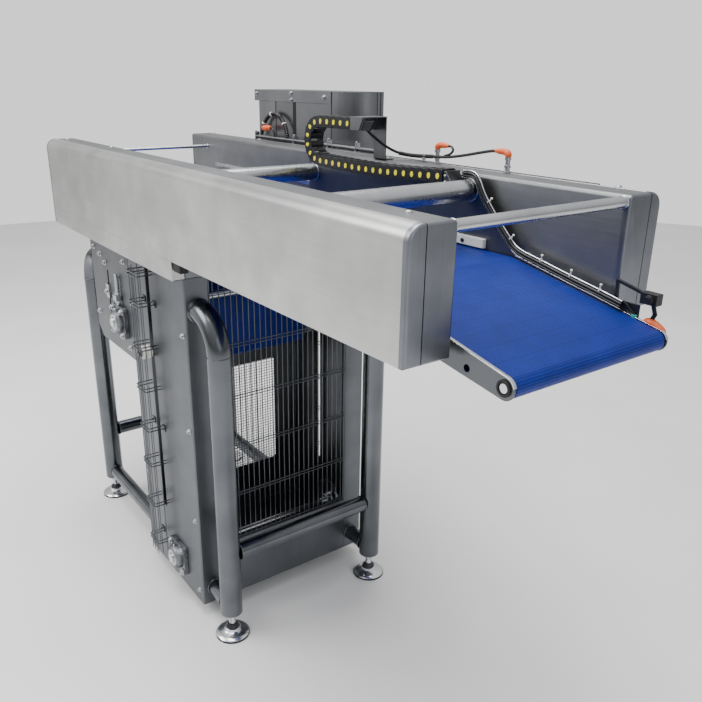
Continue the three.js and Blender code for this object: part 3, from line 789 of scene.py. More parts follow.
# Painted light: the cross bars use the same polished tube as the legs, drawn far paler for the light that
# falls on them up at the beams.
BAR_TUBE = PolishedTube("stainless_tube_polished_painted_light", "#D2D4D7", stain="#BDC0C4")
CHROME = TurnedSteel("steel_turned_bright", "#D5D7DA")
ROUND_WIRE = PolishedTube("stainless_wire_electropolished", "#6A6D71", 0.32, stain="#585B5F")
FASTENER = TurnedSteel("stainless_fastener", "#BDBFC2", 0.24)
CAST = CastSteel("steel_cast_fine", "#8A8C90")
DARK_STEEL = CastSteel("steel_blackened", "#3A3B3E", 0.45)
BLUE_ACETAL = BeltAcetal("acetal_belt_blue", "#1138AE")
BLACK_NYLON = MouldedPlastic("nylon_black", "#17181B", 0.42)
BLACK_RUBBER = MouldedPlastic("rubber_black", "#101012", 0.62)
CABLE_SHEATH = MouldedPlastic("cable_sheath_black", "#141416", 0.38)
WHITE_ACETAL = MouldedPlastic("acetal_white", "#E9E8E2", 0.36)
PALE_YELLOW = MouldedPlastic("nylon_pale_yellow", "#FFF02E", 0.35)
ORANGE_PLASTIC = MouldedPlastic("connector_orange", "#E0612A", 0.4)
TEAL_PLASTIC = MouldedPlastic("gland_teal", "#1F8F86", 0.4)
PALE_FLOOR = StudioFloor("floor_pale_paint", "#FAFAF9")


# ---- pieces ----
@dataclass(frozen=True)
class Datum:
    """Where the machine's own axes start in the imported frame, in metres."""

    x: float
    y: float

    @classmethod
    def from_frame(cls) -> "Datum":
        """The beams' front end and the mid-plane between them, from the CAD nodes' boxes."""
        near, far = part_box("near_beam_channel"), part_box("far_beam_channel")
        return cls(x=near[1].x, y=(near[0].y + far[1].y) / 2)

    def place(self, points: np.ndarray) -> np.ndarray:
        """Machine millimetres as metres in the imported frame."""
        return np.asarray(points, float) * MM + np.array([self.x, self.y, 0.0])

    def point(self, x: float, y: float = 0.0, z: float = 0.0) -> tuple:
        """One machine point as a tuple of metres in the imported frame."""
        return tuple(float(v) for v in self.place(np.array([x, y, z])))


DATUM = Datum.from_frame()


def make_mesh(name: str, shell: Shell, sharp_degrees: float = 38.0) -> bpy.types.Object:
    """A shell as an object at the origin, its place in its mesh.

    Args:
        name: the piece's name.
        shell: the closed shell, in machine millimetres.
        sharp_degrees: edges that turn more than this are drawn sharp.

    Returns:
        The object. A shell with surface lengths gets them, in metres, as the UV map "belt".
    """
    mesh = bpy.data.meshes.new(name)
    mesh.from_pydata(DATUM.place(shell.points).tolist(), [], [list(f) for f in shell.faces])
    mesh.update()
    mesh.polygons.foreach_set("use_smooth", np.ones(len(mesh.polygons), bool))
    mesh.set_sharp_from_angle(angle=math.radians(sharp_degrees))
    if shell.lengths is not None:
        corner = np.zeros(len(mesh.loops), np.int32)
        mesh.loops.foreach_get("vertex_index", corner)
        layer = mesh.uv_layers.new(name="belt")
        layer.data.foreach_set("uv", (shell.lengths[corner] * MM).astype(np.float32).ravel())
    made = bpy.data.objects.new(name, mesh)
    bpy.context.scene.collection.objects.link(made)
    return made


def piece(name: str, shell: Shell, finish: Finish, body: Body | None,
          replaces: tuple = (), bevel_mm: float = 0.0, segments: int = 2) -> bpy.types.Object:
    """Makes one finished piece of the machine.

    Args:
        name: the piece's name.
        shell: its shape.
        finish: its finish.
        body: the moving body that it rides on, or None for a piece that lies between two bodies, which is
            left unattached.
        replaces: the CAD nodes that it stands for.
        bevel_mm: the width of a bevel on its sharp edges.
        segments: the bevel's segments.

    Returns:
        The object.
    """
    made = make_mesh(name, shell)
    made.data.materials.append(finish.material())
    if bevel_mm:
        bevel = made.modifiers.new("eased_edges", "BEVEL")
        bevel.width, bevel.segments, bevel.limit_method = bevel_mm * MM, segments, "ANGLE"
        bevel.angle_limit, bevel.harden_normals = math.radians(38), True
    if body is not None:
        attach(made, body.value)
    if replaces:
        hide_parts(*replaces)
    LOG.info("%s: %d points, %s", name, len(shell.points), finish.name)
    return made


def dress(finish: Finish, *nodes: str) -> None:
    """Gives CAD nodes that keep their shape a finish."""
    for name in nodes:
        materials = frame["nodes"][name].data.materials
        materials.clear()
        materials.append(finish.material())


BOTH_SIDES = ((-1, "near"), (1, "far"))


# ---- beams ----
@dataclass
class Beams:
    """The two hollow side beams: each an outer cover and a lower inner channel that meet at a seam."""

    length: float = 1908.0
    inner: float = 222.0
    seam: float = 288.0
    outer: float = 323.0
    top: float = 1340.5
    bottom: float = 1109.0
    skirt_bottom: float = 1058.0
    skirt_front: float = -896.0
    wall: float = 3.0
    radius: float = 31.0
    inner_radius: float = 9.0
    cap_depth: float = 14.0
    cap_round: float = 6.0
    seam_gap: float = 1.0
    screw_rows: tuple = ((-1, -1860, 262), (-1, -1481, 243), (-1, -88, 249), (1, -1870, 300), (1, -80, 296))

    def outer_line(self, bottom: float) -> np.ndarray:
        """The near cover's middle line in Y and Z: from the seam round the big corner, down and back in."""
        w, r = self.wall / 2, self.radius
        bend = arc((r - self.outer, self.top - r), r - w, 90, 180, 14)
        foot = [(w - self.outer, bottom + w), (-self.seam - self.seam_gap, bottom + w)]
        return np.vstack([[(-self.seam - self.seam_gap, self.top - w)], bend, foot])

    def inner_line(self, bottom: float) -> np.ndarray:
        """The near channel's middle line in Y and Z: from the seam over the inner corner, down and back."""
        w, r = self.wall / 2, self.inner_radius
        drop = 0.8
        bend = arc((-self.inner - r, self.top - drop - r), r - w, 90, 0, 6)
        foot = [(-self.inner - w, bottom + w), (-self.seam + self.seam_gap, bottom + w)]
        return np.vstack([[(-self.seam + self.seam_gap, self.top - drop - w)], bend, foot])

    def half(self, line: np.ndarray, skirt: np.ndarray) -> Shell:
        """One folded sheet of a near beam: its section carried along X, with the deeper skirt behind."""
        section = ribbon(line, self.wall)
        deep = ribbon(np.vstack([[(skirt[-2, 0], self.bottom)], skirt[-2:]]), self.wall)
        edge = skirt[-2, 0]
        front = self.skirt_front
        plate = block((front - 3, front), (min(edge, skirt[-1, 0]), max(edge, skirt[-1, 0])),
                      (self.skirt_bottom, self.bottom))
        return merged(
            prism(section, Axis.X, -self.length + self.cap_depth, -self.cap_depth),
            prism(deep, Axis.X, -self.length + self.cap_depth, front),
            plate,
        )

    def cap(self, line: np.ndarray, low: float, high: float, ease: tuple) -> Shell:
        """A welded end plate: the outline of a sheet's outer face and the seam, its edges ground round."""
        w = self.wall / 2
        offset = ribbon(line, self.wall)
        faces = offset[: len(line)], offset[len(line) :][::-1]
        outer = max(faces, key=lambda face: face[:, 1].max())
        seam = line[0, 0]
        outline = np.vstack([outer[:-1], [(seam, line[-1, 1] - w)]])
        return eased_prism(outline, Axis.X, low, high, ease, seam)

    def build(self) -> None:
        """Builds both beams, their end plates, slide rails, screws, and under each a black block that paints
        the shadow in the gap above the tower.
        """
        skirts = (self.bottom, self.skirt_bottom)
        for s, side in BOTH_SIDES:
            outer = [self.outer_line(z) for z in skirts]
            inner = [self.inner_line(z) for z in skirts]
            sheet = self.half(*outer).side(s)
            node = (f"{side}_beam_cover",)
            piece(f"{side}_beam_outer_sheet", sheet, BEAM_SHEET, Body.ROOT, node, 0.8)
            sheet = self.half(*inner).side(s)
            node = (f"{side}_beam_channel",)
            piece(f"{side}_beam_inner_sheet", sheet, INNER_SHEET, Body.ROOT, node, 0.8)
            for end, low, high, ease, at in (
                ("front", -self.cap_depth, 0.0, (0, self.cap_round), 0),
                ("rear", -self.length, -self.length + self.cap_depth, (self.cap_round, 0), 1),
            ):
                for name, lines in (("outer", outer), ("inner", inner)):
                    line = lines[at]
                    plate = self.cap(line, low, high, ease).side(s)
                    piece(f"{side}_beam_{end}_{name}_cap", plate, CAP_SHEET, Body.ROOT)
            rail = block((-1700, -380), (-222, -212), (1240, 1252))
            piece(f"{side}_slide_rail", rail.side(s), CHROME, Body.ROOT, bevel_mm=1.5)
            # Painted shadow: a black rubber block under the beam's front, over the tower's top, stands in for
            # the dark gap there.
            gap_shadow = block((-893, -851), (-320, -296), (1085, 1108.5))
            piece(f"{side}_gap_shadow_block", gap_shadow.side(s), BLACK_RUBBER, Body.ROOT, (), 3, 3)
        heads = [
            self.screw().moved(x, s * y, self.top - (0.8 if y < self.seam else 0))
            for s, x, y in self.screw_rows
        ]
        piece("beam_top_screws", merged(*heads), FASTENER, Body.ROOT)

    def screw(self) -> Shell:
        """A button-head screw with a hexagon socket, standing on the origin."""
        dome = [(6.5, 0.0), (6.4, 1.6), (5.4, 3.2), (3.6, 4.1), (2.4, 4.2), (2.2, 2.4), (0.05, 2.3)]
        return turned_solid(dome, Axis.Z, (0, 0, 0), 24)


@dataclass
class CrossBars:
    """The tubes across the machine: two fixed at the beams' ends, and two that travel with the shuttle."""

    reach: float = 221.7
    shuttle_reach: float = 202.7
    front: tuple = (-16.0, 1326.0, 11.0)
    rear: tuple = (-1775.0, 1303.0, 6.0)
    middle: tuple = (-397.0, 1305.0, 24.0)
    back: tuple = (-1035.0, 1284.0, 24.0)

    def bar(self, name: str, spec: tuple, reach: float, body: Body, finish: Finish, slot: Slot) -> None:
        """One round bar with a weld bead at each end."""
        x, z, radius = spec
        ends = [band(radius, 2.2, Axis.Y, s * (reach - 1.0), (z, x)) for s in (-1, 1)]
        bar = merged(rod_y(radius, x, z, -reach, reach, 48), *ends)
        piece(name + "_welded", bar, finish, body, (name,))

    def build(self) -> None:
        """Builds the four bars."""
        self.bar("front_cross_tube", self.front, self.reach, Body.ROOT, BAR_TUBE, Slot.SATIN)
        self.bar("rear_tie_rod", self.rear, self.reach, Body.ROOT, CHROME, Slot.BRIGHT)
        self.bar("middle_cross_tube", self.middle, self.shuttle_reach, Body.SHUTTLE, BAR_TUBE, Slot.SATIN)
        self.bar("rear_cross_tube", self.back, self.shuttle_reach, Body.SHUTTLE, BAR_TUBE, Slot.SATIN)


# ---- stand ----
@dataclass
class Stand:
    """The round-tube stand: four elbowed legs on levelling feet, with rails between them."""

    front: float = -796.0
    rear: float = -1765.5
    y: float = 253.3
    radius: float = 31.75
    bottom: float = 76.0
    bend_z: float = 968.0
    bend: float = 95.0
    rail_radius: float = 24.0
    rail_z: float = 272.0
    low_z: float = 108.0
    tower_front: float = -899.7
    tower_rear: float = -1295.3
    gusset_rear: float = -1630.3

    def leg(self, x: float, towards: int, end: float) -> Shell:
        """A near leg: up, round a quarter bend and along X to its plate, with weld beads at its joins."""
        y, r, start = -self.y, self.bend, self.bend_z - self.bend
        bend = arc((x + towards * r, start), r, 180 if towards > 0 else 0, 90, 18)
        upright = [(x, self.bottom), (x, self.bottom + 2), (x, start - 8)]
        plane = np.vstack([upright, bend, [(end, self.bend_z)]])
        path = np.stack([plane[:, 0], np.full(len(plane), y), plane[:, 1]], axis=1)
        girth = np.full(len(path), self.radius)
        girth[0] -= 2
        beads = [
            band(self.radius, 1.3, Axis.Z, start, (x, y), 48),
            band(self.radius, 1.3, Axis.X, x + towards * r, (y, self.bend_z), 48),
            band(self.radius, 2.6, Axis.X, end - towards * 1.5, (y, self.bend_z), 48),
        ]
        return merged(tube(path, girth, 48), *beads)

    def rail_x(self, z: float, low: float, high: float) -> Shell:
        """A near rail along X with a weld bead at each end."""
        beads = [band(self.rail_radius, 2.4, Axis.X, x, (-self.y, z), 40) for x in (low + 1, high - 1)]
        return merged(rod(self.rail_radius, Axis.X, low, high, (-self.y, z), 40), *beads)

    def rail_y(self, x: float) -> Shell:
        """A rail along Y between two legs, with a weld bead at each end."""
        reach = self.y - self.radius - 0.3
        beads = [band(self.rail_radius, 2.4, Axis.Y, s * (reach - 1), (self.rail_z, x), 40) for s in (-1, 1)]
        return merged(rod_y(self.rail_radius, x, self.rail_z, -reach, reach, 40), *beads)

    def build(self) -> None:
        """Builds legs, rails and feet."""
        for s, side in BOTH_SIDES:
            stub = self.rail_x(self.low_z - 8, self.tower_front, self.front - self.radius + 2)
            front = merged(self.leg(self.front, -1, self.tower_front), stub).side(s)
            piece(f"{side}_front_leg_tube", front, TUBE, Body.ROOT, (f"{side}_front_leg",))
            rear = self.leg(self.rear, 1, self.gusset_rear).side(s)
            piece(f"{side}_rear_leg_tube", rear, TUBE, Body.ROOT, (f"{side}_rear_leg",))
            rail = self.rail_x(self.low_z, self.rear + self.radius, self.tower_rear).side(s)
            piece(f"{side}_side_rail_tube", rail, TUBE, Body.ROOT, (f"{side}_side_rail",))
            for end, x in (("front", self.front), ("rear", self.rear)):
                self.foot(f"{side}_{end}_foot", x, s * self.y)
        for end, x in (("front", self.front), ("rear", self.rear)):
            piece(f"{end}_rail_tube", self.rail_y(x), TUBE, Body.ROOT, (f"{end}_rail",))

    def foot(self, name: str, x: float, y: float) -> None:
        """A levelling foot: rubber sole, spun pad, dark swivel and threaded spindle with its lock nut."""
        body, at = Body(name), (x, y, 0.0)
        sole = [(46, 0), (50, 0.6), (50, 4.5), (48, 5)]
        piece(f"{name}_sole", turned_solid(sole, Axis.Z, at, 64), BLACK_RUBBER, body)
        dish = [(49, 5.02), (49.4, 6.4), (46, 9.6), (38, 12.5), (28, 14.5), (23, 18), (21.5, 24), (20, 25)]
        piece(f"{name}_pad", turned_solid(dish, Axis.Z, at, 64), CHROME, body, (name,))
        ball = [(19, 25.02), (19.4, 26), (19, 30), (15.5, 34), (13.5, 36.5), (13, 38)]
        piece(f"{name}_swivel", turned_solid(ball, Axis.Z, at, 40), DARK_STEEL, body)
        turns = np.arange(38.02, 120, 1.25)
        crest = np.where(np.arange(len(turns)) % 2, 9.9, 8.9)
        thread = turned_solid(list(zip(crest, turns)), Axis.Z, at, 24)
        rings = ((16, 62), (17.3, 63), (17.3, 74), (16, 75))
        nut = grid(np.stack([lifted(circle(r, 6), Axis.Z, z) for r, z in rings]))
        parts = merged(thread, nut.moved(x, y))
        piece(f"{name}_spindle", parts, CHROME, body)


# ---- tower ----
@dataclass
class Tower:
    """The sheet tower that stores the belt: slotted sides, a front apron and mesh, and a rear guard."""

    front: float = -900.0
    rear: float = -1295.0
    outer: float = 293.0
    sheet: float = 3.0
    bottom: float = 47.0
    top: float = 1057.7
    flange: float = 68.0
    slot_x: float = -1150.0
    slot_width: float = 28.0
    slot_bottom: float = 270.0
    apron_top: float = 232.0
    window_top: float = 620.0
    rear_top: float = 1000.0
    wire: float = 1.5
    wire_pitch: float = 17.6
    tie_rows: tuple = (238.0, 387.0, 542.0, 697.0, 852.0, 1007.0)
    square: float = 10.0
    pan: float = 62.0

    def side_sheet(self) -> Shell:
        """The near side: two folded halves, one on each side of the slot, and the web below the slot."""
        w, r, y = self.sheet / 2, 5.0, -self.outer
        inner = y + self.flange
        slot = self.slot_width / 2
        bend = arc((self.front - r, y + r), r - w, 0, -90, 6)
        ahead = np.vstack([[(self.front - w, inner)], bend, [(self.slot_x + slot, y + w)]])
        bend = arc((self.rear + r, y + r), r - w, 180, 270, 6)
        behind = np.vstack([[(self.rear + w, inner)], bend, [(self.slot_x - slot, y + w)]])
        heights = (self.bottom, self.slot_bottom)
        web = block((self.slot_x - slot, self.slot_x + slot), (y, y + self.sheet), heights)
        folded = [prism(ribbon(line, self.sheet), Axis.Z, self.bottom, self.top) for line in (ahead, behind)]
        return merged(*folded, web)

    def build(self) -> None:
        """Builds the tower's sheets, wires and fasteners."""
        half = self.outer - self.flange - 0.3
        for s, side in BOTH_SIDES:
            piece(f"{side}_tower_sheet", self.side_sheet().side(s), PANEL_SHEET, Body.ROOT,
                  (f"{side}_tower_side",), 0.6)
            spots = [(x, -self.outer, z) for x in (-921, -1276) for z in (90, 330, 620, 900)]
            heads = bolt(Axis.Y, -1, 6.5).copied(spots).side(s)
            piece(f"{side}_tower_bolts", heads, FASTENER, Body.ROOT)
        lip = [(self.front - 18, self.apron_top - 1.8), (self.front - 1.5, self.apron_top - 1.8),
               (self.front - 1.5, self.bottom + 1.5), (self.front - 18, self.bottom + 1.5)]
        apron = plate_xz(ribbon(np.array(lip), 3.0), -half, half)
        piece("front_apron_sheet", apron, PANEL_SHEET, Body.ROOT, ("front_apron",), 0.6)
        piece("front_mesh_wires", self.front_wires(half), ROUND_WIRE, Body.ROOT, ("front_mesh",))
        pan = [(self.rear + 4, self.pan + 6), (self.slot_x, self.pan), (self.front - 22, self.pan + 6)]
        reach = self.outer - self.sheet - 0.5
        made = plate_xz(ribbon(np.array(pan), 2.0), -reach, reach)
        piece("drip_pan", made, PANEL_SHEET, Body.ROOT)
        self.build_rear(half)

    def front_wires(self, half: float) -> Shell:
        """Upright wires at an even pitch, pairs of tie wires across them, and a thicker border."""
        low, high, x = self.apron_top + 1.6, 1050.0, self.front - 2.2
        count = int(2 * (half - 8) / self.wire_pitch)
        y = (np.arange(count + 1) - count / 2) * self.wire_pitch
        level = np.zeros_like(y)
        starts, ends = (np.stack([level + x, y, level + end], 1) for end in (low, high))
        uprights = rods(starts, ends, self.wire, 8)
        z = np.array([row + d for row in self.tie_rows for d in (-4.5, 4.5)])
        level = np.zeros_like(z)
        starts, ends = (np.stack([level + x + 2.6, level + end, z], 1) for end in (-half, half))
        ties = rods(starts, ends, 1.6, 8)
        edge = [[x, s * (half - 2.5), low] for s in (-1, 1)]
        border = rods(np.array(edge), np.array(edge) + [0, 0, high - low], 2.5, 10)
        return merged(uprights, ties, border)

    def build_rear(self, half: float) -> None:
        """The rear guard: one sheet with a window, and square mesh behind the window."""
        x0, x1 = self.rear, self.rear + 3
        low, high, sill, head = self.bottom, self.rear_top, self.apron_top, self.window_top
        frame_line = np.array([(-half, low), (half, low), (half, high), (-half, high)])
        window = rounded(400, head - sill, 8, 4, (0, (head + sill) / 2))
        sheet = prism(frame_line, Axis.X, x0, x1, (window,))
        piece("rear_guard_sheet", sheet, PANEL_SHEET, Body.ROOT, ("rear_guard",), 0.6)
        y = np.arange(-200, 201, self.square)
        z = np.arange(self.apron_top - 2, self.window_top + 4, self.square)
        x = x0 + 4.6
        starts, ends = (np.stack([0 * y + x, y, 0 * y + end], 1) for end in (z[0] - 6, z[-1] + 6))
        upright = rods(starts, ends, 1.3, 6)
        starts, ends = (np.stack([0 * z + x + 2, 0 * z + end, z], 1) for end in (-206, 206))
        level = rods(starts, ends, 1.3, 6)
        piece("rear_window_mesh", merged(upright, level), ROUND_WIRE, Body.ROOT)


# ---- belt drive side ----
@dataclass
class Guards:
    """The round-wire guards over the tower's two slots."""

    rear: float = -1176.0
    front: float = -1114.0
    near: float = -293.5
    out: float = -341.0
    bottom: float = 122.0
    top: float = 1048.0
    rows: tuple = (165.0, 300.0, 439.0, 556.0, 684.0, 812.0, 942.0, 1030.0)

    def build(self) -> None:
        """Builds hoops in pairs, bent round the slot, and the upright wires that they are welded to."""
        r = 7.0
        corner_a = arc((self.rear + r, self.out + r), r, 180, 270, 5)
        corner_b = arc((self.front - r, self.out + r), r, 270, 360, 5)
        plan = np.vstack([[(self.rear, self.near)], corner_a, corner_b, [(self.front, self.near)]])
        levels = [z + d for z in self.rows for d in (-5.0, 5.0)]
        hoops = [tube(np.column_stack([plan, np.full(len(plan), z)]), 1.8, 8, Axis.Z) for z in levels]
        spots = [(self.rear + 2, -310), (self.rear + 2, -326), (self.front - 2, -310), (self.front - 2, -326)]
        spots += [(x, self.out + 3.2) for x in (-1166, -1151, -1137, -1123)]
        feet = np.array([(x, y, self.bottom) for x, y in spots])
        upright = rods(feet, feet + [0, 0, self.top - self.bottom], 1.4, 8)
        tabs = [block((x - 11, x + 11), (self.near - 2.6, self.near), (z - 9, z + 9))
                for x in (self.rear - 6, self.front + 6) for z in (165, 556, 942)]
        heads = [bolt(Axis.Y, -1, 4.5, False).moved(x, self.near - 2.6, z)
                 for x in (self.rear - 10, self.front + 10) for z in (165, 556, 942)]
        for s, side in BOTH_SIDES:
            made = merged(*hoops, upright, *tabs, *heads).side(s)
            piece(f"{side}_slot_guard_wires", made, ROUND_WIRE, Body.ROOT, (f"{side}_slot_guard",))


@dataclass
class Gussets:
    """The bolted plates behind the tower that carry the drive shaft's bearings, with an adjusting slot."""

    rear: float = -1630.0
    front: float = -1295.3
    outer: float = 293.0
    thick: float = 4.0
    bottom: float = 712.0
    top: float = 1057.7
    slot: tuple = (-1484.0, 800.0, 965.0, 12.0)
    drive: tuple = (-1385.0, 820.0)
    bolts: tuple = ((-1598, 1020), (-1540, 1006), (-1500, 985), (-1598, 800), (-1330, 1020), (-1330, 745))

    def build(self) -> None:
        """Builds each plate, its rear flange and bolts, and the screw that sets the drive shaft's place."""
        x, z0, z1, width = self.slot
        opening = rounded(width, z1 - z0, width / 2 - 0.1, 6, (x, (z0 + z1) / 2))
        hole = circle(21, 32, self.drive)
        outline = [(self.rear, self.bottom + 40), (self.rear + 40, self.bottom), (self.front, self.bottom),
                   (self.front, self.top), (self.rear, self.top)]
        plate = plate_xz(np.array(outline), -self.outer, self.thick - self.outer, (opening, hole))
        flange = block((self.rear, self.rear + self.thick), (-self.outer, 68 - self.outer),
                       (self.bottom + 40, self.top))
        heads = [bolt(Axis.Y, -1, 7.5).moved(bx, -self.outer, bz) for bx, bz in self.bolts]
        y = -self.outer - 9
        screw = rod(5.0, Axis.Z, 872, 972, (x + 99, y), 20)
        nut = grid(np.stack([lifted(circle(9, 6), Axis.Z, h) for h in (0, 8)]))
        nuts = [nut.moved(x + 99, y, a) for a in (880, 905)]
        lug = merged(block((x + 84, x + 114), (y - 10, -self.outer), (888, 905)),
                     block((x + 84, x + 114), (-self.outer - 4, -self.outer), (870, 960)))
        slider = merged(block((x - 13, x + 13), (-self.outer - 6, -self.outer), (872, 918)),
                        bolt(Axis.Y, -1, 8).moved(x, -self.outer - 6, 895))
        for s, side in BOTH_SIDES:
            made = merged(plate, flange).side(s)
            piece(f"{side}_gusset_plate", made, PANEL_SHEET, Body.ROOT, (f"{side}_gusset",), 0.8)
            made = merged(*heads, screw, *nuts, lug, slider).side(s)
            piece(f"{side}_gusset_fasteners", made, FASTENER, Body.ROOT, bevel_mm=0.5)


@dataclass
class FlangeBearing:
    """A square four-bolt flange bearing on the machine's side, with its cover, grease nipple and insert."""

    name: str
    x: float
    z: float
    shaft: float = 15.0
    face: float = 293.3
    half: float = 52.0

    def build(self) -> None:
        """Builds the near bearing and its mirror image."""
        hole = circle(self.shaft + 1.2, 32, (self.x, self.z))
        slab = rounded(2 * self.half, 2 * self.half, 20, 6, (self.x, self.z))
        base = plate_xz(slab, -self.face - 12, -self.face, (hole,))
        cup = [(self.shaft + 1.2, 29), (self.shaft + 1.2, 10), (38, 10), (38, 20), (35.5, 27), (32, 29.5)]
        cup = turned_solid(cup[::-1], Axis.Y, (self.x, 0, self.z), 56, ring=True)
        cup = Shell(cup.points * [1, -1, 1] - [0, self.face, 0], [f[::-1] for f in cup.faces])
        seats = [
            rod_y(11, self.x + a, self.z + b, -self.face - 14, -self.face - 11, 24)
            for a, b in self.corners()
        ]
        insert = [(self.shaft + 1.0, 30.5), (self.shaft + 1.0, 22), (27, 22), (27, 29), (25.5, 30.5)]
        insert = turned_solid(insert[::-1], Axis.Y, (self.x, 0, self.z), 48, ring=True)
        insert = Shell(insert.points * [1, -1, 1] - [0, self.face, 0], [f[::-1] for f in insert.faces])
        heads = [
            bolt(Axis.Y, -1, 8.5).moved(self.x + a, -self.face - 14, self.z + b) for a, b in self.corners()
        ]
        nipple = rod(3.2, Axis.Z, self.z + 34, self.z + 45, (self.x, -self.face - 20), 16)
        for s, side in BOTH_SIDES:
            node = (f"{side}_{self.name}_bearing",)
            casting = merged(base, cup, *seats).side(s)
            piece(f"{side}_{self.name}_bearing_casting", casting, CAST, Body.ROOT, node, 1.6)
            trim = merged(insert, nipple, *heads).side(s)
            piece(f"{side}_{self.name}_bearing_trim", trim, FASTENER, Body.ROOT)

    def corners(self) -> list:
        """The four bolt places about the middle."""
        reach = self.half - 14
        return [(a * reach, b * reach) for a in (-1, 1) for b in (-1, 1)]


@dataclass
class TakeUp:
    """The drum that hangs in the belt's loop, its axle and slides, and the two chains with their shafts."""

    x: float = -1150.0
    z: float = 790.0
    radius: float = 56.0
    axle: float = 12.5
    half: float = 199.0
    chain_x: float = -1052.0
    low: float = 140.0
    high: float = 960.0
    pitch_radius: float = 78.0
    chain_y: float = 272.0
    pitch: float = 19.05
    shaft: float = 15.0

    def build(self) -> None:
        """Builds the drum, its axle and the chain drive."""
        self.build_drum()
        self.build_axle()
        self.build_chains()
        self.build_shafts()

    def build_drum(self) -> None:
        """The drum: a tube with turned-in rims and an open web on its hub."""
        r = self.radius
        wall = [(r - 5, -self.half), (r - 1, -self.half), (r, 1 - self.half), (r, self.half - 1),
                (r - 1, self.half), (r - 5, self.half)]
        shell = turned_solid(wall, Axis.Y, (self.x, 0, self.z), 64, ring=True)
        web = [(13.2, -12), (r - 4, -12), (r - 4, 12), (13.2, 12)]
        web = turned_solid(web, Axis.Y, (self.x, 0, self.z), 48, ring=True)
        piece("takeup_drum_shell", merged(shell, web), PANEL_SHEET, Body.DRUM, ("takeup_drum",))

    def build_axle(self) -> None:
        """The axle with a guide wheel in each slot guard and a slide block inside each tower side."""
        x, z = self.x, self.z
        bar = rod_y(self.axle, x, z, -333, 333, 32, 1.5)
        collars = [rod_y(18, x, z, s * 205, s * 222, 32, 1) for s in (-1, 1)]
        blocks = [block((x - 24, x + 13.5), (s * 240, s * 256), (z - 40, z + 40)) for s in (-1, 1)]
        made = merged(bar, *collars, *blocks)
        piece("takeup_axle_turned", made, CHROME, Body.TAKEUP, ("takeup_axle",), 1.2)
        wheel = [(13, -326), (18, -326), (20, -324), (20, -318), (17.5, -316.5), (17.5, -309), (20, -307),
                 (20, -301), (18, -299), (13, -299)]
        wheel = turned_solid(wheel, Axis.Y, (x, 0, z), 48, ring=True)
        nut = grid(np.stack([lifted(circle(14, 6), Axis.Y, h) for h in (-333, -326.5)])).moved(x, 0, z)
        for s, side in BOTH_SIDES:
            piece(f"{side}_guide_wheel", wheel.side(s), WHITE_ACETAL, Body.TAKEUP)
            piece(f"{side}_axle_nut", nut.side(s), FASTENER, Body.TAKEUP, bevel_mm=0.8)

    def chain_line(self) -> np.ndarray:
        """The chain's closed middle line in X and Z: two half circles joined by straight runs."""
        top = arc((self.chain_x, self.high), self.pitch_radius, 0, 180, 40)
        bottom = arc((self.chain_x, self.low), self.pitch_radius, 180, 360, 40)
        return np.vstack([top, bottom, top[:1]])

    def build_chains(self) -> None:
        """Each roller chain: identical links two plates wide, each with its pin and roller."""
        line = self.chain_line()
        count = 2 * int(lengths_along(line)[-1] / self.pitch / 2)
        p = self.pitch
        ends = np.vstack([arc((p, 0), 6.6, -90, 90, 4), arc((0, 0), 6.6, 90, 270, 4)])
        inner = merged(
            *[plate_xz(ends, y, y + 1.3) for y in (-5.0, 3.7)], rod_y(3.4, 0, 0, -5.6, 5.6, 10, 0.3)
        )
        roller = rod_y(4.6, 0, 0, -3.4, 3.4, 12, 0.3)
        link = merged(inner, roller).moved(0, -self.chain_y, 0)
        chain = linked(link, line, count)
        for s, side in BOTH_SIDES:
            node = (f"{side}_takeup_chain",)
            piece(f"{side}_roller_chain", chain.side(s), DARK_STEEL, Body.ROOT, node)

    def sprocket(self, z: float) -> Shell:
        """A near sprocket: teeth on a cosine round the rim, holes through the web, and a hub."""
        teeth = round(2 * math.pi * self.pitch_radius / self.pitch)
        angle = np.linspace(0, 2 * np.pi, teeth * 8, endpoint=False)
        reach = self.pitch_radius - 3.4 + 2.0 * np.cos(teeth * angle)
        rim = np.stack([self.chain_x + reach * np.cos(angle), z + reach * np.sin(angle)], axis=1)
        turns = np.radians([45, 135, 225, 315])
        holes = [circle(13, 20, (self.chain_x + 44 * math.cos(a), z + 44 * math.sin(a))) for a in turns]
        disc = plate_xz(rim, -self.chain_y - 3, -self.chain_y + 3, tuple(holes))
        return merged(disc, rod_y(27, self.chain_x, z, -self.chain_y - 5, -self.chain_y + 20, 32))

    def build_shafts(self) -> None:
        """The two cross shafts with a sprocket near each end."""
        spans = (("lower", self.low, 329.0, Body.LOWER_SHAFT), ("upper", self.high, 289.7, Body.UPPER_SHAFT))
        for name, z, end, body in spans:
            near = self.sprocket(z)
            shaft = rod_y(self.shaft, self.chain_x, z, -end, end, 32, 1.5)
            flat = block((self.chain_x - 2.5, self.chain_x + 2.5), (-end + 0.5, 1 - end), (z - 8, z + 8))
            made = merged(shaft, near, near.mirrored(), flat)
            node = (f"{name}_chain_shaft",)
            piece(f"{name}_shaft_and_sprockets", made, CHROME, body, node, 0.5)


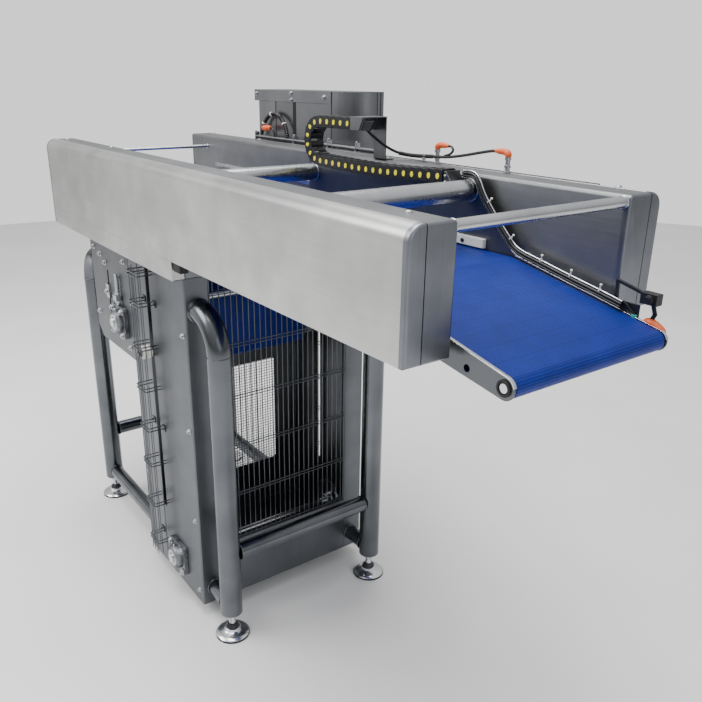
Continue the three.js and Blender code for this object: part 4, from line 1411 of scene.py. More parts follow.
# ---- rollers and belt ----
@dataclass
class Belt:
    """The modular belt and the rollers that it runs on, worked out from their centres and radii."""

    half: float = 199.0
    thick: float = 7.0
    gap: float = 0.9
    top_z: float = 1174.5
    return_z: float = 1131.5
    bend_x: float = -250.0
    return_bend_x: float = -300.0
    splice_x: float = -1500.0
    nose: tuple = (105.0, 1089.0)
    nose_radius: float = 12.0
    drum: tuple = (-1150.0, 790.0)
    turn_radius: float = 30.0
    over_radius: float = 56.0
    over_z: float = 1075.0
    drive: tuple = (-1385.0, 820.0)
    tail_x: float = -1790.0
    journal: float = 221.7
    step: float = 5.0

    def __post_init__(self) -> None:
        """Works out the centres that follow from the others: each run hangs straight down between two."""
        lap = self.thick / 2 + self.gap
        self.drum_loop = self.over_radius + lap
        self.turn_loop = self.turn_radius + lap
        self.nose_loop = self.nose_radius + lap
        self.tail_loop = (self.top_z - self.return_z) / 2
        self.front_turn = (self.drum[0] + self.drum_loop + self.turn_loop, self.return_z - self.turn_loop)
        self.over = (self.drum[0] - 2 * self.drum_loop, self.over_z)
        self.drive_loop = self.over[0] - self.drum_loop - self.drive[0]
        self.rear_turn = (self.drive[0] - self.drive_loop - self.turn_loop, self.return_z - self.turn_loop)
        self.tail = (self.tail_x, self.return_z + self.tail_loop)
        self.lap = lap

    def tangent(self, x: float, z: float, sign: int) -> float:
        """The angle in degrees at which a line from a point touches the nose's top (+1) or underside (-1)."""
        dx, dz = self.nose[0] - x, self.nose[1] - z
        lean = math.atan2(dz, dx) + sign * math.asin(self.nose_loop / math.hypot(dx, dz))
        return sign * 90 + math.degrees(lean)

    def strand(self, line: np.ndarray) -> Shell:
        """A belt strand: a rounded section carried along a line in X and Z, with its surface lengths.

        The section is a box of the belt's width and thickness with eased edges. Each of its corners is pushed
        from the line along the line's own normal, and its lengths are the distance along the line and its y.
        """
        total = lengths_along(line)[-1]
        line = resampled(line, np.linspace(0, total, int(total / self.step) + 1))
        ahead = np.gradient(line, axis=0)
        ahead /= np.linalg.norm(ahead, axis=1)[:, None]
        normal = np.stack([-ahead[:, 1], ahead[:, 0]], axis=1)
        h, t, e = self.half, self.thick / 2, 1.2
        section = [
            (-h + e, -t), (-h, -t + e), (-h, t - e), (-h + e, t), (h - e, t), (h, t - e), (h, -t + e),
            (h - e, -t)
        ]
        section = np.array(section)
        rows = np.zeros((len(line), len(section), 3))
        rows[..., 0] = line[:, :1] + normal[:, :1] * section[:, 1]
        rows[..., 2] = line[:, 1:] + normal[:, 1:] * section[:, 1]
        rows[..., 1] = section[:, 0]
        shell = grid(rows)
        along = np.repeat(lengths_along(line), len(section))
        shell.lengths = np.stack([along, np.tile(section[:, 0], len(line))], axis=1)
        return shell

    def build(self) -> None:
        """Builds the three strands and the six rollers."""
        nose_top = self.tangent(self.bend_x, self.top_z, 1)
        nose_under = self.tangent(self.return_bend_x, self.return_z, -1)
        end_x = self.front_turn[0] + 2.0
        front = np.vstack([
            [(self.splice_x, self.top_z)], self.eased_corner(self.bend_x, self.top_z, 0.0, nose_top - 90),
            arc(self.nose, self.nose_loop, nose_top, nose_under, 24),
            [(self.return_bend_x, self.return_z), (end_x, self.return_z)],
        ])
        loop = np.vstack([
            [(end_x, self.return_z)], arc(self.front_turn, self.turn_loop, 90, 180, 16),
            arc(self.drum, self.drum_loop, 0, -180, 40), [(self.drum[0] - self.drum_loop, self.over_z - 2)],
        ])
        rear = np.vstack([
            [(self.over[0] + self.drum_loop, self.over_z - 2)], arc(self.over, self.drum_loop, 0, 180, 40),
            arc(self.drive, self.drive_loop, 0, -180, 40), arc(self.rear_turn, self.turn_loop, 0, 90, 16),
            arc(self.tail, self.tail_loop, -90, -270, 24), [(self.splice_x, self.top_z)],
        ])
        made = piece("belt_front_strand", self.strand(front), BLUE_ACETAL, None, ("belt_front",))
        DATUM.point(-1050)
        DATUM.point(self.return_bend_x)
        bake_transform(made)
        made = piece(
            "belt_takeup_strand", self.strand(loop), BLUE_ACETAL, None, ("belt_takeup_loop",)
        )
        DATUM.point(0, 0, 1060)
        DATUM.point(0, 0, 800)
        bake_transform(made)
        piece("belt_rear_strand", self.strand(rear), BLUE_ACETAL, Body.ROOT, ("belt_rear",))
        self.build_rollers()

    def eased_corner(self, x: float, z: float, before: float, after: float) -> np.ndarray:
        """A corner in X and Z bent on a 60 mm radius: an arc that touches both directions, in degrees."""
        radius = 60.0
        reach = radius * math.tan(math.radians(before - after) / 2)
        start = (x - reach * math.cos(math.radians(before)), z - reach * math.sin(math.radians(before)))
        centre = (
            start[0] + radius * math.sin(math.radians(before)),
            start[1] - radius * math.cos(math.radians(before))
        )
        return arc(centre, radius, before + 90, after + 90, 8)

    def roller(
            self, node: str, centre: tuple, radius: float, journal: float, end: float, body: Body,
            finish: Finish, slot: Slot
    ) -> None:
        """One roller: a barrel with chamfered rims and stepped journals."""
        x, z = centre
        neck = radius * 0.75
        profile = [
            (journal - 1, -end), (journal, 1 - end), (journal, -self.half - 3), (neck, -self.half - 3),
            (neck, -self.half), (radius - 1.5, -self.half), (radius, 1.5 - self.half),
        ]
        profile += [(r, -h) for r, h in profile[::-1]]
        made = turned_solid(profile, Axis.Y, (x, 0, z), 48)
        piece(f"{node}_turned", made, finish, body, (node,))

    def build_rollers(self) -> None:
        """The rollers, each on its own body."""
        drive_radius, tail_radius = self.drive_loop - self.lap, self.tail_loop - self.lap
        turn, end = self.turn_radius, self.journal
        specs = (
            ("nose_roller", self.nose, self.nose_radius, 9.0, 208.0, Body.NOSE, CHROME, Slot.BRIGHT),
            ("front_turn_roller", self.front_turn, turn, 10.0, end, Body.FRONT_TURN, TUBE, Slot.SATIN),
            ("over_roller", self.over, self.over_radius, 10.0, end, Body.OVER, TUBE, Slot.SATIN),
            ("rear_turn_roller", self.rear_turn, turn, 10.0, end, Body.REAR_TURN, TUBE, Slot.SATIN),
            ("tail_roller", self.tail, tail_radius, 10.0, end, Body.TAIL, TUBE, Slot.SATIN),
            ("drive_roller", self.drive, drive_radius, 15.0, 329.0, Body.DRIVE, CHROME, Slot.BRIGHT),
        )
        for spec in specs:
            self.roller(*spec)


# ---- shuttle ----
@dataclass
class Shuttle:
    """The travelling frame: side plates with slide shoes, the sheet under the belt, and the belt guides."""

    inner: float = 203.0
    outer: float = 206.0
    rear: float = -1062.0
    top: float = 1330.0
    bottom: float = 1142.0
    bottom_front: float = -390.0
    crest_x: float = -372.0
    shoulder_x: float = -262.0
    bend_x: float = -250.0
    nose: tuple = (105.0, 1089.0)
    nose_end: float = 21.0
    nose_end_angle: float = -98.0
    bearing: float = 10.0
    nose_hole: tuple = (22.0, 1096.0)
    nose_hole_radius: float = 7.0
    deck: float = 1182.0
    belt_depth: float = 14.9  # from the belt's top down to the middle of the sheet that it slides on
    bed_half: float = 202.0
    bed_rear_gap: float = 62.0
    sheet: float = 2.5
    rail: tuple = (1240.0, 1252.0)
    shoes: tuple = (-1040.0, -470.0)
    shoe_length: float = 80.0
    shoe_face: float = 221.0
    shoe_groove: float = 211.2
    shoe_lip: float = 14.0
    slack: float = 0.8
    bolt_holes: tuple = ((-1000, 1190), (-900, 1165), (-640, 1165), (-450, 1165), (-300, 1165))
    bolt_hole_radius: float = 5.5
    bolt_radius: float = 5.0
    guide: tuple = (-462.0, -336.0, 1181.0, 1203.0)
    guide_face: float = 190.5
    guide_back: float = 202.7
    guide_pin: tuple = (-400.0, 1191.0)

    def outline(self) -> np.ndarray:
        """A side plate's outline: a high back, a slope to the belt, and a round end about the nose roller."""
        dx, dz = self.nose[0] - self.bend_x, self.nose[1] - self.deck
        lean = math.degrees(math.atan2(dz, dx) + math.asin(self.nose_end / math.hypot(dx, dz)))
        slope = [(self.crest_x - 8, self.top), (self.crest_x + 6, self.top - 8)]
        slope += [(self.shoulder_x - 14, self.deck + 26), (self.shoulder_x, self.deck + 6)]
        end = arc(self.nose, self.nose_end, 90 + lean, self.nose_end_angle, 20)
        back = [(self.rear, self.bottom), (self.rear, self.top)]
        bend, underside = [(self.bend_x, self.deck)], [(self.bottom_front, self.bottom)]
        return np.vstack([back, smooth_path(slope, 5), bend, end, underside])

    def build(self) -> None:
        """Builds plates, shoes, edge strips, nose seals, guides, bolts and the bed."""
        holes = [circle(self.bearing, 32, self.nose), circle(self.nose_hole_radius, 24, self.nose_hole)]
        holes += [circle(self.bolt_hole_radius, 16, at) for at in self.bolt_holes]
        plate = plate_xz(self.outline(), -self.outer, -self.inner, tuple(holes))
        shoe = self.shoe()
        x0, x1, z0, z1 = self.guide
        guide = block((x0, x1), (-self.guide_back, -self.guide_face), (z0, z1))
        pin = rod_y(5, *self.guide_pin, -self.guide_face - 0.3, -self.guide_face + 2.9, 24)
        for s, side in BOTH_SIDES:
            made = merged(plate, *[shoe.moved(x) for x in self.shoes]).side(s)
            node = (f"{side}_shuttle_side",)
            piece(f"{side}_shuttle_plate", made, PANEL_SHEET, Body.SHUTTLE, node, 0.5)
            edge = self.nose_edge().side(s)
            piece(f"{side}_nose_edge", edge, CHROME, Body.SHUTTLE, bevel_mm=0.5)
            seal = self.nose_seal().side(s)
            piece(f"{side}_nose_seal", seal, BLACK_RUBBER, Body.SHUTTLE)
            made = guide.side(s)
            piece(f"{side}_belt_guide", made, WHITE_ACETAL, Body.SHUTTLE, (), 2.5, 3)
            piece(f"{side}_belt_guide_pin", pin.side(s), DARK_STEEL, Body.SHUTTLE)
            head = bolt(Axis.Y, 1, self.bolt_radius, False)
            heads = [head.moved(x, -self.inner, z) for x, z in self.bolt_holes]
            piece(f"{side}_shuttle_bolts", merged(*heads).side(s), FASTENER, Body.SHUTTLE)
        self.build_bed()

    def nose_edge(self) -> Shell:
        """The bright strip along the near plate's top edge, from the bend down to the round end."""
        line = self.outline()
        line = line[line[:, 0] > self.bend_x - 1]
        line = line[line[:, 1] > self.nose[1] + 3]
        return plate_xz(ribbon(line - [0, 0.9], 2.4), -self.outer - 1.2, -self.inner + 2.2)

    def nose_seal(self) -> Shell:
        """The black ring round the nose roller's end, standing out from the near plate."""
        face = -self.outer
        profile = [(9.6, face - 4), (9.6, face - 0.2), (14.5, face - 0.2), (14.5, face - 2.6)]
        profile.append((13.2, face - 4))
        return turned_solid(profile, Axis.Y, (self.nose[0], 0, self.nose[1]), 40, ring=True)

    def shoe(self) -> Shell:
        """A near slide shoe: a block whose outer face has a groove for the rail, starting at x = 0."""
        z0, z1 = self.rail
        section = [(-self.outer, z0 - self.shoe_lip), (-self.outer, z1 + self.shoe_lip)]
        section += [(-self.shoe_face, z1 + self.shoe_lip), (-self.shoe_face, z1 + self.slack)]
        section += [(-self.shoe_groove, z1 + self.slack), (-self.shoe_groove, z0 - self.slack)]
        section += [(-self.shoe_face, z0 - self.slack), (-self.shoe_face, z0 - self.shoe_lip)]
        return prism(np.array(section), Axis.X, 0, self.shoe_length)

    def build_bed(self) -> None:
        """The sheet that the belt slides on: level, then sloping to the nose."""
        low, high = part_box("slider_bed")
        front, front_z = (high.x - DATUM.x) / MM - 1, low.z / MM + 2
        level = self.deck - self.belt_depth
        line = np.array([(self.rear + self.bed_rear_gap, level), (self.bend_x - 2, level), (front, front_z)])
        bed = plate_xz(ribbon(line, self.sheet), -self.bed_half, self.bed_half)
        piece("slider_bed_sheet", bed, PANEL_SHEET, Body.SHUTTLE, ("slider_bed",), 0.6)


# ---- cable carrier ----
@dataclass
class CableCarrier:
    """The plastic cable chain: a fixed upper run, a travelling loop and a lower run that the shuttle tows."""

    y0: float = 152.0
    y1: float = 198.0
    x: float = -945.0
    z: float = 1379.0
    radius: float = 52.0
    height: float = 31.0
    plate: float = 3.2
    upper_end: float = -790.0
    lower: tuple = ((-945, 1327), (-850, 1324.5), (-700, 1323), (-560, 1328), (-440, 1334))
    counts: tuple = (5, 6, 17)
    post_front: float = -736.0
    post_rear: float = -786.0
    post_y: float = 226.0
    post_top: float = 1450.0
    deck: float = 1340.8
    sheet: float = 3.0
    tow_x: float = -436.0

    def link(self, pitch: float) -> Shell:
        """One link: two side plates with a boss at the joint, and a bar across the top and the bottom."""
        h = self.height / 2
        plate = rounded(pitch * 0.96, 2 * h, 6.5, 4, (pitch / 2, 0))
        boss = circle(h - 1.0, 20, (0.0, 0.0))
        sides = [plate_xz(plate, y, y + self.plate) for y in (self.y0 + 0.9, self.y1 - 4.1)]
        sides += [plate_xz(boss, y, y + self.plate) for y in (self.y0 + 0.2, self.y1 - 3.4)]
        bars = [rounded(pitch * 0.5, 2.6, 1.0, 2, (pitch / 2, s * (h - 1.5))) for s in (-1, 1)]
        return merged(*sides, *[plate_xz(bar, self.y0 + 4, self.y1 - 4) for bar in bars])

    def dot(self, pitch: float) -> Shell:
        """The oval snap-in marker on a link's near plate."""
        oval = circle(1.0, 20) * [5.2, 6.6] + [pitch / 2, 0]
        return plate_xz(oval, self.y0 - 0.9, self.y0 + 1.4)

    def build(self) -> None:
        """Builds the three runs with their markers, the post and the tow bracket."""
        level = self.z + self.radius
        upper = np.array([(self.upper_end, level), (self.x, level)], float)
        loop = arc((self.x, self.z), self.radius, 90, 270, 24)
        runs = (("upper", upper), ("loop", loop), ("lower", smooth_path(list(self.lower), 6)))
        ends = {"upper": ("carrier_loop", -784, -945), "lower": ("shuttle", -1454, -436)}
        for (name, line), count in zip(runs, self.counts):
            pitch = lengths_along(line)[-1] / count
            parts = (
                (f"cable_chain_{name}", self.link(pitch), BLACK_NYLON, (f"cable_carrier_{name}",), 0.5),
                (f"cable_chain_{name}_markers", self.dot(pitch), PALE_YELLOW, (), 0.0),
            )
            for label, link, finish, node, bevel in parts:
                body = Body.CARRIER_LOOP if name == "loop" else None
                made = piece(label, linked(link, line, count), finish, body, node, bevel)
                if body is None:
                    other, start, end = ends[name]
                    DATUM.point(start)
                    DATUM.point(end)
                    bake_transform(made)
        self.build_post()
        self.build_tow_arm()

    def build_post(self) -> None:
        """The folded post on the far beam, its arm, and the slanted end plate that holds the upper run."""
        rear, front, y, deck, top = self.post_rear, self.post_front, self.post_y, self.deck, self.post_top
        face = np.array([(rear, deck), (front, deck), (front, top), (rear, top)])
        foot = block((rear, front), (y, y + 30), (deck, deck + self.sheet))
        arm = block((rear + 2, front), (self.y0, y + self.sheet), (top - self.sheet, top))
        back = block((rear + 2, rear + 5), (self.y0, y + self.sheet), (top - 35, top))
        edge = [(rear - 3, top - 34), (front - 16, top - 34), (front - 2, top - 9), (front - 2, top)]
        edge.append((rear - 3, top))
        near = plate_xz(np.array(edge), self.y0 - self.sheet, self.y0)
        made = merged(plate_xz(face, y, y + self.sheet), foot, arm, back, near)
        piece("carrier_post_sheet", made, HOOD_SHEET, Body.ROOT, ("carrier_post",), 0.8)
        edge = [(front - 14, top - 33), (front + 24, top - 33), (front + 39, top - 9), (front, top - 9)]
        throat = plate_xz(np.array(edge), self.y0 + 2, self.y0 + 6)
        piece("carrier_post_throat", throat, BLACK_RUBBER, Body.ROOT, bevel_mm=0.8)
        spots = [(x, y + 18, deck + self.sheet) for x in (rear + 10, front - 10)]
        piece("carrier_post_bolts", bolt(Axis.Z, 1, 5.0).copied(spots), FASTENER, Body.ROOT)

    def build_tow_arm(self) -> None:
        """The end bracket that joins the lower run to the shuttle, with its two screws."""
        x, y0, y1, low, high, length = self.tow_x, self.y0, 202.7, 1311, 1346, 34
        cheek = np.array([(x, low + 3), (x + length, low + 3), (x + 8, high), (x, high)])
        wall = block((x, x + self.sheet), (y0, y1), (low, high))
        shelf = block((x, x + length), (y0, y1), (low, low + self.sheet))
        made = merged(wall, shelf, plate_xz(cheek, y0, y0 + 2.5))
        piece("carrier_tow_bracket", made, HOOD_SHEET, Body.SHUTTLE, ("carrier_tow_arm",), 0.6)
        heads = bolt(Axis.Y, -1, 3.6, False).copied([(x + 7, y0, low + 11), (x + 7, y0, low + 25)])
        piece("carrier_tow_screws", heads, FASTENER, Body.SHUTTLE)


@dataclass
class NoseCables:
    """The cables that run down the far plate to the nose, between two steel rods and held by white ties."""

    points: tuple = (
        (-416, 1340), (-377, 1336), (-349, 1297), (-314, 1259), (-273, 1220), (-238, 1194),
        (-174, 1179), (-97, 1163), (-25, 1149), (28, 1138),
    )
    ties: tuple = ((-335, 1284), (-264, 1213), (-177, 1180), (-98, 1163), (-25, 1149))
    y: float = 194.5
    sleeve: tuple = (196.0, 201.5)
    width: float = 13.0

    def build(self) -> None:
        """Builds the sleeve, the cables, the rods and the ties, all on the shuttle."""
        line = smooth_path(list(self.points), 8)
        sleeve = plate_xz(ribbon(line, self.width), *self.sleeve)
        piece("nose_cable_sleeve", sleeve, BLACK_NYLON, Body.SHUTTLE, ("cable_channel",), 0.8)
        ahead = np.gradient(line, axis=0)
        ahead /= np.linalg.norm(ahead, axis=1)[:, None]
        normal = np.stack([-ahead[:, 1], ahead[:, 0]], axis=1)

        def strand(offset: float, y: float, radius: float) -> Shell:
            """A round strand beside the line: pushed along the line's normal, at one y."""
            path = line + normal * offset
            return tube(np.column_stack([path[:, 0], np.full(len(path), y), path[:, 1]]), radius, 12)

        cables = merged(strand(-3.6, self.y - 1.3, 2.9), strand(2.6, self.y - 1.1, 3.0))
        piece("nose_cables", cables, CABLE_SHEATH, Body.SHUTTLE)
        bars = merged(strand(8.3, self.y, 1.5), strand(-8.0, self.y, 1.1))
        piece("nose_cable_rods", bars, CHROME, Body.SHUTTLE)
        ties = []
        for x, z in self.ties:
            k = int(np.hypot(line[:, 0] - x, line[:, 1] - z).argmin())
            angle = math.degrees(math.atan2(ahead[k, 1], ahead[k, 0]))
            ties.append(self.tie().turned(Axis.Y, -angle).moved(line[k, 0], 0, line[k, 1]))
        piece("nose_cable_ties", merged(*ties), WHITE_ACETAL, Body.SHUTTLE)

    def tie(self) -> Shell:
        """A white tie about the upper rod of a line along X at z = 0: a strap, a tail and its head."""
        strap = block((-1.2, 1.2), (self.y - 2.9, self.y + 3.1), (5.6, 11.2))
        tail = rod(1.2, Axis.Z, 11, 17, (0, self.y), 8)
        return merged(strap, tail, rod(2.7, Axis.Z, 16.6, 21, (0, self.y), 12, 1.2))


@dataclass
class NoseSensor:
    """The light sensor at the nose: a black bracket, a clamp, an eye, a teal gland and an orange plug."""

    y: float = 211.0
    eye: tuple = (82.0, 1161.0)
    gland: tuple = (52.0, 1106.0)
    arm: tuple = ((6, 1140), (4, 1180), (76, 1163))
    leg: tuple = ((80, 1160), (90, 1132), (74, 1095))
    foot: tuple = (-6.0, 60.0, 1116.0, 1144.0)
    plug: tuple = ((70, 1112), (80, 1115), (94, 1112), (114, 1102))

    def build(self) -> None:
        """Builds the sensor's pieces, all on the shuttle and clear of the far beam."""
        y, (x, z) = self.y, self.eye
        arm = plate_xz(ribbon(np.array(self.arm), 6), y - 3, y + 3)
        leg = plate_xz(ribbon(np.array(self.leg), 8), y - 2, y + 2)
        x0, x1, z0, z1 = self.foot
        foot = block((x0, x1), (206.3, 209), (z0, z1))
        piece("sensor_bracket", merged(arm, leg, foot), DARK_STEEL, Body.SHUTTLE, bevel_mm=0.8)
        clamp = block((x - 20, x + 14), (y - 12, y + 8), (z - 11, z + 11))
        clamp = merged(clamp, rod_y(9, x, z, y - 19, y - 10, 24))
        piece("sensor_clamp", clamp, BLACK_NYLON, Body.SHUTTLE, (), 2, 3)
        window = rod_y(6.2, x, z, y - 20.5, y - 19, 24, 0.5)
        piece("sensor_window", window, DARK_STEEL, Body.SHUTTLE)
        x, z = self.gland
        profile = [(4.5, 0), (7.5, 1), (7.5, 9), (6, 11), (6, 17), (4, 18)]
        gland = turned_solid(profile, Axis.Z, (x, y - 6, z), 24)
        piece("sensor_gland", gland, TEAL_PLASTIC, Body.SHUTTLE)
        line = smooth_path([(px, y, pz) for px, pz in self.plug], 5)
        girth = np.interp(np.linspace(0, 1, len(line)), [0, 0.15, 0.5, 0.9, 1], [4, 7.5, 9, 8, 5])
        piece("sensor_plug", tube(line, girth, 20), ORANGE_PLASTIC, Body.SHUTTLE)
        line = smooth_path([(28, 199, 1146), (38, 201, 1138), (48, y - 6, 1128), (x, y - 6, z + 16)], 6)
        piece("sensor_tail", tube(line, 2.6, 12), CABLE_SHEATH, Body.SHUTTLE)


# ---- hood ----
@dataclass
class Hood:
    """The tall sheet hood on the far side, with one large round corner, over the shuttle's gearmotor."""

    rear: float = -1560.0
    corner: float = -1123.0
    front: float = 325.0
    depth: float = 115.0
    bottom: float = 1180.0
    top: float = 1504.0
    radius: float = 108.0
    wall: float = 2.0
    fold: float = 2.2
    strip_rear: float = -1588.0
    strip_bottom: float = 1467.0
    beam_top: float = 1345.0
    panel_front: float = -1450.0
    slot: tuple = (-1341.0, -1322.0)
    cover_rear: float = -1320.0
    bolts: tuple = ((-1574, 3, 1490), (-1347, 3, 1494), (-1347, 3, 1474), (-1158, 3, 1486))
    flanges: tuple = ((418.0, 424.0), (430.0, 440.0))
    motor_z: float = 1330.0

    def plan(self, inset: float) -> np.ndarray:
        """The hood's plan in X and Y at an inset: a quarter arc between the flat near face and the back."""
        r = self.radius - inset
        bend = arc((self.corner, self.front + self.radius), r, 270, 360, 18)
        left, back = self.rear + inset, self.front + self.depth - inset
        return np.vstack([[(left, self.front + inset)], bend, [(self.corner + r, back), (left, back)]])

    def build(self) -> None:
        """Builds the shell, its top, the folded strips on its near face and the gearmotor inside."""
        outer, inner = self.plan(0), self.plan(self.wall)
        walls = prism(outer, Axis.Z, self.bottom, self.top - self.wall, (inner,))
        made = merged(walls, prism(outer, Axis.Z, self.top - self.wall, self.top))
        piece("motor_hood_shell", made, HOOD_SHEET, Body.ROOT, ("motor_hood",), 0.7)
        y, heights = self.front, (self.beam_top, self.strip_bottom)
        strip = block((self.strip_rear, self.corner), (y - 3, y), (self.strip_bottom, self.top))
        panel = block((self.rear, self.panel_front), (y - self.fold, y), heights)
        cover = block((self.cover_rear, self.corner), (y - self.fold, y), heights)
        made = merged(strip, panel, cover)
        piece("hood_near_strips", made, INNER_SHEET, Body.ROOT, bevel_mm=0.8)
        slot = block(self.slot, (y - 1.4, y), heights)
        piece("hood_cable_slot", slot, BLACK_RUBBER, Body.ROOT, bevel_mm=0.5)
        spots = [(x, y - out, z) for x, out, z in self.bolts]
        piece("hood_bolts", bolt(Axis.Y, -1, 5.5).copied(spots), FASTENER, Body.ROOT)
        edge, span = self.corner + self.radius, (self.bottom, self.top)
        made = merged(*[block((edge - 1, edge + 2.4), reach, span) for reach in self.flanges])
        piece("hood_edge_flanges", made, INNER_SHEET, Body.ROOT, bevel_mm=0.7)
        self.build_motor()

    def build_motor(self) -> None:
        """The gearmotor: a ribbed barrel with a fan cover, on a square gear case flanged to the hood."""
        y, z = self.front + self.depth / 2, self.motor_z
        ribs = np.arange(-1452, -1290, 5.0)
        reach = np.where(np.arange(len(ribs)) % 2, 44.0, 39.0)
        profile = [(30, -1470), (42, -1469), (43, -1456), *zip(reach, ribs), (44, -1288), (44, -1262)]
        barrel = turned_solid(profile, Axis.X, (0, y, z), 40)
        case = eased_prism(rounded(92, 120, 12, 5, (y, z)), Axis.X, -1262.5, -1150, (6, 6))
        flange = block((-1250, -1160), (self.front + 2.4, y), (z - 40, z + 40))
        made = merged(barrel, case, flange)
        piece("gearmotor_casting", made, CAST, Body.ROOT, ("shuttle_gearmotor",), 1.2)


# ---- fittings on the far beam ----
@dataclass
class BeamTopFittings:
    """The cable tray, hose arch, sensor posts and cables along the far beam's top."""

    deck: float = 1340.6
    y: float = 299.0
    tray: tuple = (-1536.0, -864.0)
    tray_z: float = 1352.0
    posts: tuple = (-1536.0, -1289.0, -1096.0, -954.0)
    long_rod: tuple = (-850.0, -140.0, 316.0, 1336.5)
    arch: tuple = (
        (-1518, 306, 1357), (-1512, 307, 1376), (-1494, 308, 1402), (-1466, 309, 1421), (-1433, 310, 1428),
        (-1400, 309, 1420), (-1373, 308, 1400), (-1356, 307, 1376), (-1350, 306, 1357),
    )
    hose_radius: float = 6.4
    hose_ridge: float = 0.9
    hose_pitch: float = 7.0
    arch_ties: tuple = ((0.18, -70), (0.42, -20), (0.8, 60))
    tray_plug: tuple = ((-1492, 1380), (-1486, 1380), (-1470, 1380), (-1446, 1382), (-1440, 1382))
    eye_y: float = 290.0
    eyes: tuple = (("rear", -606.0, 1), ("front", -371.0, -1))
    clip: tuple = (-656.0, -644.0)
    cable_radius: float = 3.6
    cable: tuple = (
        (-736, 160, 1422), (-731, 174, 1408), (-728, 194, 1393), (-727, 216, 1379), (-726, 242, 1366),
        (-722, 264, 1358), (-708, 282, 1354), (-686, 290, 1353), (-650, 290, 1356), (-606, 284, 1357),
        (-560, 287, 1360), (-510, 290, 1368), (-460, 290, 1378), (-425, 290, 1384.5), (-411, 290, 1385.6),
    )

    def build(self) -> None:
        """Builds the tray, the arch and the sensors with their cables."""
        self.build_tray()
        self.build_arch()
        self.build_sensors()
        self.build_cables()

    def build_tray(self) -> None:
        """The tray: two long wires on short posts, and two dark rods that run along the beam."""
        (x0, x1), y, z = self.tray, self.y, self.tray_z
        wires = rods([[x0, y - 6, z], [x0, y + 6, z]], [[x1, y - 6, z], [x1, y + 6, z]], 2.0, 10)
        stands = [self.tray_post().moved(x) for x in self.posts]
        piece("cable_tray", merged(wires, *stands), FASTENER, Body.ROOT, bevel_mm=0.4)
        rear, front, long_y, long_z = self.long_rod
        starts = [[x0 + 20, y, z - 6], [rear, long_y, long_z]]
        ends = [[x1 + 8, y, z - 6], [front, long_y, long_z]]
        piece("beam_top_rods", rods(starts, ends, 3.2, 12), DARK_STEEL, Body.ROOT)

    def tray_post(self) -> Shell:
        """One post of the tray at x = 0: a foot, a thin upright and a round clip."""
        y = self.y
        foot = block((-5, 5), (y - 10, y + 10), (self.deck, self.deck + 2.5))
        upright = block((-1.2, 1.2), (y - 9, y + 9), (self.deck, 1366))
        return merged(foot, upright, rod(3.4, Axis.Z, 1362, 1370, (0, y - 4), 12))

    def build_arch(self) -> None:
        """A corrugated hose that rises out of the tray, bends over and goes back in, its ties and a plug."""
        path = smooth_path(list(self.arch), 14)
        along = lengths_along(path)
        girth = self.hose_radius + self.hose_ridge * np.cos(along * 2 * np.pi / self.hose_pitch)
        made = piece("hose_arch", tube(path, girth, 20), CABLE_SHEATH, Body.ROOT)
        DATUM.point(*self.arch[0])
        DATUM.place(path[::4]).tolist()
        at = resampled(path, np.array([share for share, _ in self.arch_ties]) * along[-1])
        ring = rod(8.2, Axis.X, -2, 2, (0, 0), 20, 0.5)
        ties = [ring.turned(Axis.Y, turn).moved(*p) for p, (_, turn) in zip(at, self.arch_ties)]
        piece("hose_ties", merged(*ties), WHITE_ACETAL, Body.ROOT)
        plug = tube([(x, 296, z) for x, z in self.tray_plug], [5, 8.5, 9.5, 8, 5], 20)
        piece("tray_plug", plug, ORANGE_PLASTIC, Body.ROOT)
        line = [(-1440, 296, 1382), (-1426, 296, 1380), (-1418, 297, 1370), (-1416, 298, 1354)]
        tail = tube(smooth_path(line, 5), 2.6, 10)
        piece("tray_plug_tail", tail, CABLE_SHEATH, Body.ROOT)

    def build_sensors(self) -> None:
        """Two sensor posts: a foot, a threaded barrel with nuts, and an orange angled plug on top."""
        barrel = [(9, 0), (9, 3), (5.6, 3.4), (5.6, 10), (7.5, 10.5), (7.5, 16), (5.4, 16.5), (5.4, 27)]
        barrel += [(7.2, 27.5), (7.2, 34), (5, 35), (5, 38)]
        y, z = self.eye_y, self.deck + 42
        for name, x, way in self.eyes:
            body = turned_solid(barrel, Axis.Z, (x, y, self.deck), 28)
            piece(f"{name}_sensor_barrel", body, FASTENER, Body.ROOT)
            steps = ((0, -8), (1, -1), (9, 3), (26, 3.5), (40, 3))
            bend = smooth_path([(x + way * dx, y, z + dz) for dx, dz in steps], 5)
            girth = np.interp(np.linspace(0, 1, len(bend)), [0, 0.15, 0.5, 0.8, 1], [6, 8, 7.6, 6.4, 3.6])
            piece(f"{name}_sensor_plug", tube(bend, girth, 20), ORANGE_PLASTIC, Body.ROOT)
        foot = block(self.clip, (y - 7, y + 7), (self.deck, self.deck + 2))
        strap = merged(foot, block(self.clip, (y - 7, y - 5), (self.deck, 1360)))
        piece("sensor_cable_clip", strap, FASTENER, Body.ROOT, bevel_mm=0.4)

